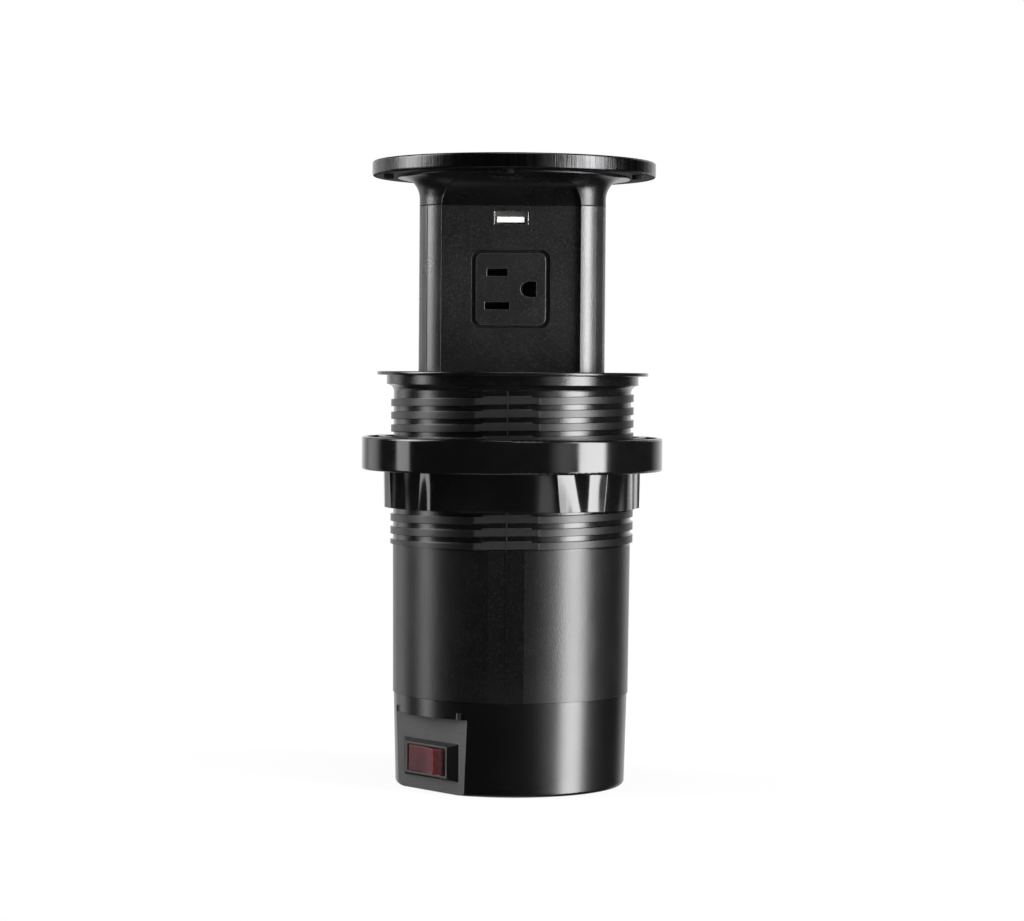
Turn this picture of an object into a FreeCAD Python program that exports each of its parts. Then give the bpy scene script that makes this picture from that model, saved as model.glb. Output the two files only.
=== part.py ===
import FreeCAD, Part
import math
import os
import re
import Sketcher

# Pull-up power module for a desk top. The base cap stands on Z = 0, the axis of the
# barrel is Z, and the face with the outlet that looks forward has the normal -Y.
# An azimuth is measured from -Y towards +X, seen from above it turns anticlockwise.

document = FreeCAD.newDocument("power_module")
sheet = document.addObject("Spreadsheet::Sheet", "Sizes")

# Driving dimensions in millimetres and degrees: name, value, meaning
sizeRows = [
    ("flangeTop", 160.0, "height of the flange above the base"),
    ("lipReach", 3.8, "flange lip past the neck"),
    ("flangeLip", 1.5, "thickness of the flange lip"),
    ("neckStep", 2.8, "neck past the barrel, to fill the hole in the desk"),
    ("neckDrop", 5.0, "depth of the neck below the flange top"),
    ("rootDrop", 7.3, "depth at which the neck has run into the barrel"),
    ("barrelRadius", 46.2, "barrel and thread root"),
    ("barrelTaper", 0.4, "barrel smaller at its lower end"),
    ("seamHeight", 35.7, "joint between barrel and base cap"),
    ("barrelWall", 2.6, "wall of the barrel"),
    ("mouthStep", 3.2, "widening of the bore inside the flange"),
    ("mouthDepth", 3.4, "straight part of the mouth"),
    ("threadPitch", 4.94, "single start, right hand"),
    ("threadDepth", 1.0, "depth of the barrel thread"),
    ("threadGap", 0.3, "radial gap between the threads"),
    ("flankGap", 0.33, "gap between the flanks"),
    ("crestWidth", 2.7, "width of the thread at its crest"),
    ("toothRootWidth", 3.1, "width of the thread at its root"),
    ("threadLength", 59.5, "threaded length below the root of the neck"),
    ("threadRunOut", 2.34, "first crest below the end of the thread"),
    ("partingDepth", 0.5, "depth of the two parting flats"),
    ("partingWidth", 40.0, "width of the parting flats"),
    ("partingLineWidth", 0.4, "raised line down the middle of a parting flat"),
    ("partingLineRise", 0.12, "rise of the parting line"),
    ("capStep", 0.35, "base cap inside the barrel's outline at the seam"),
    ("capTaper", 0.85, "base cap smaller at its foot"),
    ("capEdge", 1.5, "rounding of the cap's lower edge"),
    ("capFloor", 3.0, "floor of the base cap"),
    ("capWall", 1.8, "wall of the cap at its spigot"),
    ("spigotGap", 0.2, "play of the spigot in the barrel"),
    ("spigotHeight", 6.0, "length of the spigot"),
    ("columnInset", 2.3, "middle of a screw column inside the wall of the cap"),
    ("columnRadius", 3.9, "screw columns of the cap"),
    ("barrelBossRadius", 4.6, "screw bosses of the barrel"),
    ("barrelBossLength", 15.0, "length of the lower screw bosses"),
    ("switchAzimuth", -46.0, "azimuth of the switch flat"),
    ("switchCut", 5.25, "depth of the switch flat in the cap"),
    ("switchWall", 2.4, "wall behind the switch flat"),
    ("switchLedge", 28.9, "height of the ledge above the switch flat"),
    ("switchHeight", 12.1, "height of the middle of the switch"),
    ("bezelSlope", 4.0, "sloping end of the switch bezel"),
    ("bezelEdge", 1.25, "sloping long side of the switch bezel"),
    ("ridgeEnd", 1.0, "wall of the ridge at the rocker's ends"),
    ("ridgeSide", 0.8, "wall of the ridge along the rocker"),
    ("ridgeRise", 2.5, "rise of the ridge above the flat"),
    ("rockerReach", 10.8, "radius of the rocker's ends about its pivot"),
    ("rockerHeight", 9.7, "rocker along its pivot"),
    ("rockerTilt", 10.0, "rocker's lean to either side"),
    ("rockerRise", 5.9, "ends of the rocker's face above its pivot"),
    ("rockerHollow", 1.3, "hollow of the rocker's face"),
    ("grooveWidth", 0.45, "finger grooves near one end of the rocker"),
    ("grooveEnd", 0.85, "outer groove from the end of the rocker's face"),
    ("groovePitch", 1.3, "distance between the finger grooves"),
    ("grooveSide", 0.9, "uncut rocker beside the ends of a groove"),
    ("rockerWell", 7.0, "depth of the rocker's well below its pivot"),
    ("terminalThickness", 0.8, "switch terminal"),
    ("terminalWidth", 4.8, "switch terminal"),
    ("terminalLength", 8.0, "switch terminal behind the switch"),
    ("rockerGap", 0.3, "running gap round the rocker"),
    ("pivotDepth", 4.0, "rocker pivot below the ridge"),
    ("pivotRadius", 1.2, "rocker pivot pin"),
    ("pinGap", 0.05, "running gap of the pivot pin"),
    ("switchBodyExtra", 1.5, "switch body past the ridge at each end"),
    ("switchFit", 0.15, "play of the switch in the cap"),
    ("switchBodyDepth", 19.0, "switch body behind the flat"),
    ("glandHeight", 15.0, "height of the cable gland"),
    ("glandBore", 3.7, "cable hole of the gland"),
    ("glandThread", 6.0, "radius of the gland's shank"),
    ("glandCut", 0.6, "depth of the flat under the gland"),
    ("glandCollar", 8.5, "radius of the gland's collar"),
    ("partitionThickness", 2.0, "plate over the switch chamber"),
    ("ringDrop", 19.0, "underside of the guide ring below the flange"),
    ("ringThickness", 6.0, "guide ring"),
    ("ringScrewInset", 4.0, "guide screws inside the bore"),
    ("ringPlay", 0.15, "play of the guide ring in the bore"),
    ("guideGap", 0.35, "gap between tower and guide ring"),
    ("towerPlay", 4.5, "distance between the posts and the bore"),
    ("postRadius", 14.6, "outer radius of a corner post"),
    ("panelPlane", 24.5, "outer face of the panels from the axis"),
    ("panelHalf", 26.5, "visible half width of a panel"),
    ("panelThickness", 2.5, "panel"),
    ("panelGrip", 1.0, "depth of the panel grooves in the posts"),
    ("panelGap", 0.1, "play of the panel in its groove"),
    ("ledgeWidth", 3.5, "ledge of the post behind the panel"),
    ("ledgeThickness", 2.0, "thickness of that ledge"),
    ("lineAngle", 11.7, "fine lines of a post either side of its middle"),
    ("lineWidth", 0.4, "width of a fine line"),
    ("lineDepth", 0.25, "depth of a fine line"),
    ("seamRise", 63.4, "seam of the tower above the flange"),
    ("lidRise", 75.4, "underside of the lid above the flange"),
    ("lidOverhang", 2.2, "lid past the flange"),
    ("lidThickness", 5.8, "lid"),
    ("lidEdge", 0.9, "rounding of the lid's edges"),
    ("headInset", 1.8, "rim of the tower head inside the mouth"),
    ("headPlate", 0.6, "thickness of that rim"),
    ("headFlare", 8.5, "fillet from the posts out to the rim"),
    ("coveRadius", 9.4, "cove above each panel"),
    ("headCeiling", 3.0, "top of the hollow head"),
    ("headWall", 2.4, "wall of the hollow head"),
    ("padInset", 2.8, "lid pads inside the edge of the flange"),
    ("padRadius", 1.8, "lid pad"),
    ("padHeight", 1.6, "lid pad"),
    ("lidScrewRing", 14.0, "radius of the ring of lid screws"),
    ("postScrewInset", 5.7, "post screws inside the face of the post"),
    ("screwShank", 1.35, "shank radius of the small screws"),
    ("screwHole", 1.4, "pilot hole for the small screws"),
    ("screwClear", 1.75, "clearance hole for the small screws"),
    ("screwHead", 2.8, "head radius of the small screws"),
    ("screwHeadHeight", 2.2, "head height of the small screws"),
    ("baseFlange", 1.7, "overhang of the tower base past the posts"),
    ("baseThickness", 4.0, "tower base"),
    ("stopGap", 0.1, "gap between tower base and guide ring when up"),
    ("leadRadius", 3.0, "coiled lead inside the barrel"),
    ("leadCoil", 27.0, "mean radius of that coil"),
    ("leadTurns", 3.0, "turns of that coil"),
    ("saddleHeight", 8.0, "saddles that hold the ends of the lead"),
    ("outletRise", 31.5, "middle of the outlets above the flange"),
    ("outletWidth", 30.0, "opening for an outlet in the panel"),
    ("outletHeight", 29.5, "opening for an outlet in the panel"),
    ("outletCorner", 3.6, "corner of that opening"),
    ("moatSide", 1.7, "channel beside the flush face"),
    ("moatEnd", 1.15, "channel over and under the flush face"),
    ("moatDepth", 1.1, "channel round the flush face"),
    ("outletGap", 0.15, "gap between outlet and panel"),
    ("outletLip", 1.6, "lip of the outlet behind the panel"),
    ("outletDepth", 14.0, "outlet behind the panel's face"),
    ("bladePlace", -5.2, "middle of the blade slots"),
    ("bladeRise", 6.35, "blade slots above and below the middle"),
    ("bladeSlot", 2.9, "width of a blade slot"),
    ("liveSlot", 7.8, "length of the live slot"),
    ("neutralSlot", 9.4, "length of the neutral slot"),
    ("earthPlace", 6.7, "middle of the earth hole"),
    ("earthRadius", 2.95, "round side of the earth hole"),
    ("earthFlat", 2.95, "flat side of the earth hole from its middle"),
    ("slotWall", 3.0, "front wall that the slots go through"),
    ("usbRise", 58.5, "middle of the data sockets above the flange"),
    ("usbWidth", 13.2, "socket shell"),
    ("usbHeight", 5.7, "socket shell"),
    ("usbWall", 0.35, "sheet of the socket shell"),
    ("usbCorner", 0.9, "corner of the socket shell"),
    ("usbDepth", 13.0, "depth of the socket shell"),
    ("tongueWidth", 10.4, "tongue in the socket"),
    ("tongueThickness", 2.1, "tongue in the socket"),
    ("tongueShift", -0.2, "middle of the tongue along the face"),
    ("tongueDrop", 0.55, "middle of the tongue below the socket's"),
    ("tongueInset", 0.8, "tongue behind the panel's face"),
    ("boardWidth", 17.0, "charger board"),
    ("boardBack", 9.5, "back of the charger board from the axis"),
    ("boardThickness", 1.2, "charger board"),
    ("nutDrop", 25.3, "rim of the clamp nut below the flange"),
    ("nutRing", 12.9, "height of the nut's wide ring"),
    ("nutReach", 11.0, "wide ring of the nut past its thread"),
    ("nutHeight", 27.3, "whole nut"),
    ("collarWall", 2.5, "wall of the nut's collar"),
    ("collarTaper", 0.3, "collar smaller at its lower end"),
    ("collarFlatWall", 1.17, "wall of the collar at the grip flats"),
    ("collarPhase", 35.4, "azimuth of the first grip flat"),
    ("nutThreadInset", 3.5, "plain bore at either end of the nut"),
    ("nutEdge", 1.0, "rounding of the wide ring below"),
    ("nutRimEdge", 0.8, "rounding of the wide ring's rim"),
    ("nutChannel", 8.7, "depth of the open channel in the nut"),
    ("nutRimWall", 1.8, "outer wall of that channel"),
    ("sleeveWall", 1.9, "inner wall of that channel"),
    ("sleeveDrop", 1.5, "inner wall below the rim"),
    ("slipGap", 0.3, "running gap round the slip ring"),
    ("slipWall", 2.4, "upright wall of the slip ring"),
    ("slipFoot", 1.6, "foot of the slip ring"),
    ("slipProud", 0.2, "slip ring above the rim of the nut"),
    ("springThickness", 0.5, "brake spring"),
    ("springWidth", 7.0, "brake spring"),
    ("springGap", 0.45, "brake spring to the bore, at its middle"),
]
aliases = set()
for row, (alias, size, meaning) in enumerate(sizeRows, start=1):
    sheet.set(f"A{row}", alias)
    sheet.set(f"B{row}", str(size))
    sheet.set(f"C{row}", meaning)
    sheet.setAlias(f"B{row}", alias)
    aliases.add(alias)
document.recompute()

# Places that follow from the driving dimensions
derived = {
    "boreRadius": "barrelRadius - barrelWall",
    "barrelFoot": "barrelRadius - barrelTaper",
    "neckRadius": "barrelRadius + neckStep",
    "flangeRadius": "neckRadius + lipReach",
    "mouthRadius": "boreRadius + mouthStep",
    "threadCrest": "barrelRadius + threadDepth",
    "threadFoot": "flangeTop - rootDrop - threadLength",
    "threadPhase": "threadFoot - threadRunOut",
    "threadTurns": "(threadLength + threadRunOut - 2.066) / threadPitch",
    "partingFlat": "barrelRadius - partingDepth",
    "partingFoot": "barrelFoot - partingDepth",
    "capTopRadius": "barrelFoot - capStep",
    "capFootRadius": "capTopRadius - capTaper",
    "spigotRadius": "boreRadius - spigotGap",
    "capBore": "spigotRadius - capWall",
    "columnRing": "capBore - columnInset",
    "switchPlane": "capTopRadius - switchCut",
    "ridgeLength": "2 * (rockerReach + rockerGap + ridgeEnd)",
    "ridgeHeight": "rockerHeight + 2 * (rockerGap + ridgeSide)",
    "bezelLength": "ridgeLength + 2 * bezelSlope",
    "bezelHeight": "ridgeHeight + 2 * bezelEdge",
    "switchBodyLength": "ridgeLength + 2 * switchBodyExtra",
    "switchBodyHeight": "ridgeHeight",
    "glandSeat": "capFootRadius - glandCut",
    "ringBottom": "flangeTop - ringDrop",
    "ringScrewRing": "boreRadius - ringScrewInset",
    "towerReach": "boreRadius - towerPlay",
    "postOffset": "towerReach - postRadius",
    "postScrewRing": "towerReach - postScrewInset",
    "lidRadius": "flangeRadius + lidOverhang",
    "headRadius": "mouthRadius - headInset",
    "padRing": "flangeRadius - padInset",
    "islandWidth": "outletWidth - 2 * moatSide",
    "islandHeight": "outletHeight - 2 * moatEnd",
    "islandCorner": "outletCorner - 1",
    "nutTop": "flangeTop - nutDrop",
    "nutBore": "threadCrest + threadGap",
    "nutCrest": "barrelRadius + threadGap",
    "nutRadius": "nutBore + nutReach",
    "collarRadius": "nutBore + collarWall",
    "collarFoot": "collarRadius - collarTaper",
    "collarFlat": "nutBore + collarFlatWall",
    "flankSlope": "(toothRootWidth - crestWidth) / threadDepth",
    "nutTipWidth": "threadPitch - toothRootWidth + flankSlope * threadGap - 2 * flankGap",
    "nutRootWidth": "nutTipWidth + flankSlope * threadDepth",
    "nutTurns": "(nutHeight - sleeveDrop - 2 * nutThreadInset) / threadPitch",
    "nutStart": "(nutFoot + 3 - threadPhase) / threadPitch - 0.5",
    "seam": "flangeTop + seamRise",
    "lidUnder": "flangeTop + lidRise",
    "ringTop": "ringBottom + ringThickness",
    "baseTop": "ringBottom - stopGap",
    "baseUnder": "baseTop - baseThickness",
    "spigotTop": "seamHeight + spigotHeight",
    "partitionTop": "spigotTop + partitionThickness",
    "barrelBossFoot": "partitionTop + 0.2",
    "postU": "postOffset * sin(60)",
    "postN": "postOffset * cos(60)",
    "lipN": "postN + sqrt(postRadius^2 - (panelHalf - postU)^2)",
    "tangentN": "postN + postRadius",
    "panelBack": "panelPlane - panelThickness",
    "grooveU": "panelHalf + panelGrip",
    "ledgeU": "grooveU - ledgeWidth",
    "plateUnder": "lidUnder - headPlate",
    "outletMid": "flangeTop + outletRise",
    "outletFront": "panelPlane - moatDepth",
    "outletBack": "panelPlane - outletDepth",
    "usbMid": "flangeTop + usbRise",
    "nutFoot": "nutTop - nutHeight",
    "ringFoot": "nutTop - nutRing",
    "channelFloor": "nutTop - nutChannel",
    "sleeveTop": "nutTop - sleeveDrop",
    "sleeveOuter": "nutBore + sleeveWall",
    "ridgePlane": "switchPlane + ridgeRise",
    "pivotPlane": "ridgePlane - pivotDepth",
    "boxBack": "switchPlane - switchBodyDepth",
    "leadFoot": "partitionTop + leadRadius + 0.3",
    "leadHead": "baseUnder - leadRadius - 0.3",
    "springReach": "boreRadius - springGap",
    "springHeight": "baseUnder - 9",
}


def formula(text):
    """Write a formula with the sheet's names in full."""
    def full(match):
        word = match.group()
        if word in derived:
            return "(" + formula(derived[word]) + ")"
        return "Sizes." + word if word in aliases else word
    return re.sub(r"[A-Za-z_]\w*", full, str(text))


def number(text):
    return float(sheet.evalExpression(formula(text)))


def newBody(label, azimuth="0"):
    """Body turned about the barrel's axis, which may hold several equal solids."""
    body = document.addObject("PartDesign::Body", label)
    body.Label = label
    body.AllowCompound = True
    turn = FreeCAD.Rotation(FreeCAD.Vector(0, 0, 1), number(azimuth))
    body.Placement = FreeCAD.Placement(FreeCAD.Vector(0, 0, 0), turn)
    if azimuth != "0":
        body.setExpression("Placement.Rotation.Angle", formula(azimuth))
    return body


def originPart(body, role):
    return [part for part in body.Origin.OriginFeatures if part.Role == role][0]


def newSketch(body, name, role, height="0"):
    """Sketch on an origin plane, moved along the plane's normal by height."""
    sketch = body.newObject("Sketcher::SketchObject", name)
    sketch.AttachmentSupport = [(originPart(body, role), "")]
    sketch.MapMode = "FlatFace"
    sketch.setExpression("AttachmentOffset.Base.z", formula(height))
    return sketch


def fix(sketch, constraint, text):
    index = sketch.addConstraint(constraint)
    sketch.setExpression(f"Constraints[{index}]", formula(text))


def drawOutline(sketch, points):
    """Closed outline. A point is (x, y), or (x, y, radius) where an arc leads to it:
    a positive radius turns anticlockwise and a negative one clockwise."""
    first = sketch.GeometryCount
    places = [(number(point[0]), number(point[1])) for point in points]
    count = len(points)
    for i in range(count):
        start = FreeCAD.Vector(*places[i], 0)
        end = FreeCAD.Vector(*places[(i + 1) % count], 0)
        target = points[(i + 1) % count]
        if len(target) == 2:
            sketch.addGeometry(Part.LineSegment(start, end), False)
            continue
        radius = number(target[2])
        chord = end - start
        sagitta = abs(radius) - math.sqrt(max(radius ** 2 - (chord.Length / 2) ** 2, 0))
        side = FreeCAD.Vector(chord.y, -chord.x, 0).normalize() * math.copysign(sagitta, radius)
        middle = (start + end) / 2 + side
        ends = (start, end) if radius > 0 else (end, start)
        sketch.addGeometry(Part.Arc(ends[0], middle, ends[1]), False)
    for i in range(count):
        startNode, endNode = arcEnds(sketch, first + i, places[i])
        nextStart = arcEnds(sketch, first + (i + 1) % count, places[(i + 1) % count])[0]
        joint = Sketcher.Constraint("Coincident", first + i, endNode, first + (i + 1) % count, nextStart)
        sketch.addConstraint(joint)
        fix(sketch, Sketcher.Constraint("DistanceX", -1, 1, first + i, startNode, places[i][0]), points[i][0])
        fix(sketch, Sketcher.Constraint("DistanceY", -1, 1, first + i, startNode, places[i][1]), points[i][1])
        target = points[(i + 1) % count]
        if len(target) == 3:
            fix(sketch, Sketcher.Constraint("Radius", first + i, abs(number(target[2]))), f"abs({target[2]})")


def arcEnds(sketch, index, place):
    """Vertex numbers of an edge, the one at place first."""
    start = sketch.Geometry[index].StartPoint
    near = math.hypot(start.x - place[0], start.y - place[1]) < 1e-6
    return (1, 2) if near else (2, 1)


def turnedSketch(body, name, azimuth, distance):
    """Upright sketch that faces an azimuth: x runs along the face and y is the height."""
    sketch = body.newObject("Sketcher::SketchObject", name)
    sketch.AttachmentSupport = [(originPart(body, "XZ_Plane"), "")]
    sketch.MapMode = "FlatFace"
    turn = FreeCAD.Rotation(FreeCAD.Vector(0, 1, 0), number(azimuth))
    sketch.AttachmentOffset = FreeCAD.Placement(FreeCAD.Vector(0, 0, 0), turn)
    sketch.setExpression("AttachmentOffset.Rotation.Angle", formula(azimuth))
    sketch.setExpression("AttachmentOffset.Base.x", formula(f"({distance}) * sin({azimuth})"))
    sketch.setExpression("AttachmentOffset.Base.z", formula(f"({distance}) * cos({azimuth})"))
    return sketch


def drawCircle(sketch, x, y, radius):
    centre = FreeCAD.Vector(number(x), number(y), 0)
    index = sketch.addGeometry(Part.Circle(centre, FreeCAD.Vector(0, 0, 1), number(radius)), False)
    fix(sketch, Sketcher.Constraint("DistanceX", -1, 1, index, 3, centre.x), x)
    fix(sketch, Sketcher.Constraint("DistanceY", -1, 1, index, 3, centre.y), y)
    fix(sketch, Sketcher.Constraint("Radius", index, number(radius)), radius)


def roundedBox(x, y, width, height, corner):
    """Outline of a box with round corners about the point x, y."""
    left = f"{x} - ({width}) / 2"
    right = f"{x} + ({width}) / 2"
    low = f"{y} - ({height}) / 2"
    high = f"{y} + ({height}) / 2"
    corner = f"({corner})"
    return [
        (f"{left} + {corner}", low, corner),
        (f"{right} - {corner}", low),
        (right, f"{low} + {corner}", corner),
        (right, f"{high} - {corner}"),
        (f"{right} - {corner}", high, corner),
        (f"{left} + {corner}", high),
        (left, f"{high} - {corner}", corner),
        (left, f"{low} + {corner}"),
    ]


def plainBox(left, right, low, high):
    return [(left, low), (right, low), (right, high), (left, high)]


def extrude(body, kind, name, sketch, length, away=False, midplane=False):
    feature = body.newObject("PartDesign::" + kind, name)
    feature.Profile = sketch
    feature.setExpression("Length", formula(length))
    feature.Reversed = away
    feature.Midplane = midplane
    return feature


def spin(body, kind, name, sketch, axis="V_Axis"):
    feature = body.newObject("PartDesign::" + kind, name)
    feature.Profile = sketch
    feature.ReferenceAxis = (sketch, [axis])
    feature.Angle = 360
    return feature


def helix(body, name, sketch, pitch, turns):
    feature = body.newObject("PartDesign::AdditiveHelix", name)
    feature.Profile = sketch
    feature.ReferenceAxis = (sketch, ["V_Axis"])
    feature.Mode = "pitch-turns-angle"
    feature.setExpression("Pitch", formula(pitch))
    feature.setExpression("Turns", formula(turns))
    return feature


def repeatRound(body, name, originals, count):
    feature = body.newObject("PartDesign::PolarPattern", name)
    feature.Originals = originals
    feature.Axis = (originPart(body, "Z_Axis"), [""])
    feature.Angle = 360
    feature.Occurrences = count
    body.Tip = feature
    return feature


def polarPlace(ring, azimuth):
    """Sketch coordinates on the XY plane of a point at an azimuth."""
    return f"({ring}) * sin({azimuth})", f"-({ring}) * cos({azimuth})"


def towerOutline(radius):
    """Rounded triangle of the tower: three arcs about the post centres and their tangents."""
    points = []
    for azimuth in (60, 180, 300):
        for side in (-60, 60):
            across = azimuth + side
            x = f"postOffset * sin({azimuth}) + ({radius}) * sin({across})"
            y = f"-postOffset * cos({azimuth}) - ({radius}) * cos({across})"
            points.append((x, y) if side < 0 else (x, y, radius))
    return points


def makeBarrel():
    body = newBody("housing_tube")
    wall = newSketch(body, "barrel_section", "XZ_Plane")
    lipRound = "flangeLip * 0.46"
    drawOutline(wall, [
        ("boreRadius", "seamHeight"),
        ("barrelFoot", "seamHeight"),
        ("barrelRadius", "threadFoot"),
        ("barrelRadius", "flangeTop - rootDrop"),
        ("neckRadius", "flangeTop - neckDrop", "-(rootDrop - neckDrop) * 1.35"),
        ("neckRadius", "flangeTop - flangeLip"),
        (f"flangeRadius - {lipRound}", "flangeTop - flangeLip"),
        ("flangeRadius", f"flangeTop - flangeLip + {lipRound}", lipRound),
        ("flangeRadius", f"flangeTop - {lipRound}"),
        (f"flangeRadius - {lipRound}", "flangeTop", lipRound),
        ("mouthRadius + 0.5", "flangeTop"),
        ("mouthRadius", "flangeTop - 0.5"),
        ("mouthRadius", "flangeTop - mouthDepth"),
        ("boreRadius", "flangeTop - mouthDepth - (mouthRadius - boreRadius) * 1.1"),
    ])
    spin(body, "Revolution", "barrel", wall)
    tooth = newSketch(body, "thread_section", "XZ_Plane")
    crest = toothOutline("barrelRadius", "threadCrest", "toothRootWidth", "crestWidth", "threadPhase", -0.3)
    drawOutline(tooth, crest)
    helix(body, "thread", tooth, "threadPitch", "threadTurns")
    below = newSketch(body, "thread_end", "XZ_Plane")
    drawOutline(below, [
        ("barrelRadius - (barrelRadius - barrelFoot) * 6 / (threadFoot - seamHeight)", "threadFoot - 6"),
        ("threadCrest + 2", "threadFoot - 6"),
        ("threadCrest + 2", "threadFoot"),
        ("barrelRadius", "threadFoot"),
    ])
    spin(body, "Groove", "thread_cut_off", below)
    for name, side in (("front", -1), ("back", 1)):
        flat = newSketch(body, f"parting_flat_{name}", "YZ_Plane")
        drawOutline(flat, [
            (f"{side} * partingFoot", "seamHeight - 1"),
            (f"{side} * partingFoot", "seamHeight"),
            (f"{side} * partingFlat", "threadFoot"),
            (f"{side} * partingFlat", "flangeTop - rootDrop"),
            (f"{side} * (threadCrest + 4)", "flangeTop - rootDrop"),
            (f"{side} * (threadCrest + 4)", "seamHeight - 1"),
        ])
        extrude(body, "Pocket", f"parting_{name}", flat, "partingWidth", midplane=True)
        line = newSketch(body, f"parting_line_{name}_outline", "YZ_Plane")
        drawOutline(line, [
            (f"{side} * (partingFoot - 0.4)", "seamHeight"),
            (f"{side} * (partingFoot + partingLineRise)", "seamHeight"),
            (f"{side} * (partingFlat + partingLineRise)", "threadFoot"),
            (f"{side} * (partingFlat + partingLineRise)", "flangeTop - rootDrop"),
            (f"{side} * (partingFlat - 0.4)", "flangeTop - rootDrop"),
            (f"{side} * (partingFlat - 0.4)", "threadFoot"),
        ])
        extrude(body, "Pad", f"parting_line_{name}", line, "partingLineWidth", midplane=True)
    upper = newSketch(body, "ring_boss_section", "XY_Plane", "ringBottom - 12")
    drawCircle(upper, *polarPlace("ringScrewRing", 0), "barrelBossRadius")
    drawCircle(upper, *polarPlace("ringScrewRing", 0), "screwHole")
    upperBoss = extrude(body, "Pad", "ring_boss", upper, "12")
    repeatRound(body, "ring_bosses", [upperBoss], 3)
    lower = newSketch(body, "cap_boss_section", "XY_Plane", "barrelBossFoot")
    drawCircle(lower, *polarPlace("columnRing", 15), "barrelBossRadius")
    drawCircle(lower, *polarPlace("columnRing", 15), "screwHole")
    lowerBoss = extrude(body, "Pad", "cap_boss", lower, "barrelBossLength")
    repeatRound(body, "cap_bosses", [lowerBoss], 3)


def toothOutline(root, crest, rootWidth, crestWidth, height, sink):
    """Thread section, sunk a little into the wall that carries it."""
    return [
        (f"{root} + {sink}", f"{height} - {rootWidth} / 2"),
        (crest, f"{height} - {crestWidth} / 2"),
        (crest, f"{height} + {crestWidth} / 2"),
        (f"{root} + {sink}", f"{height} + {rootWidth} / 2"),
    ]


def makeGuideRing():
    body = newBody("guide_ring")
    ring = newSketch(body, "ring_section", "XY_Plane", "ringBottom")
    drawCircle(ring, "0", "0", "boreRadius - ringPlay")
    drawOutline(ring, towerOutline("postRadius + guideGap"))
    extrude(body, "Pad", "ring", ring, "ringThickness")
    hole = newSketch(body, "screw_hole_section", "XY_Plane", "ringBottom")
    drawCircle(hole, *polarPlace("ringScrewRing", 0), "screwClear")
    cut = extrude(body, "Pocket", "screw_hole", hole, "ringThickness", away=True)
    repeatRound(body, "screw_holes", [cut], 3)


def makeScrews(label, ring, azimuth, shankFoot, shankLength, headFirst, count=3):
    """Ring of equal screws along Z, with the head at the foot or at the top."""
    body = newBody(label)
    x, y = polarPlace(ring, azimuth)
    shank = newSketch(body, label + "_shank", "XY_Plane", shankFoot)
    drawCircle(shank, x, y, "screwShank")
    shankPad = extrude(body, "Pad", label + "_shank_pad", shank, shankLength)
    headFoot = f"{shankFoot} - screwHeadHeight" if headFirst else f"{shankFoot} + {shankLength}"
    head = newSketch(body, label + "_head", "XY_Plane", headFoot)
    drawCircle(head, x, y, "screwHead")
    headPad = extrude(body, "Pad", label + "_head_pad", head, "screwHeadHeight")
    slotFoot = headFoot if headFirst else f"{headFoot} + screwHeadHeight - 1"
    slot = newSketch(body, label + "_drive", "XY_Plane", slotFoot)
    drawOutline(slot, crossOutline(x, y, "screwHead * 0.62", "screwHead * 0.16"))
    slotCut = extrude(body, "Pocket", label + "_drive_cut", slot, "1", away=True)
    repeatRound(body, label + "_round", [shankPad, headPad, slotCut], count)


def crossOutline(x, y, reach, half):
    """Outline of a cross about a point, for the drive of a screw."""
    spans = {1: half, 2: reach}
    corners = [(1, -2), (1, -1), (2, -1), (2, 1), (1, 1), (1, 2)]
    corners += [(-across, -along) for across, along in corners]
    points = []
    for across, along in corners:
        offsetX = f"{int(math.copysign(1, across))} * ({spans[abs(across)]})"
        offsetY = f"{int(math.copysign(1, along))} * ({spans[abs(along)]})"
        points.append((f"{x} + {offsetX}", f"{y} + {offsetY}"))
    return points


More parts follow.
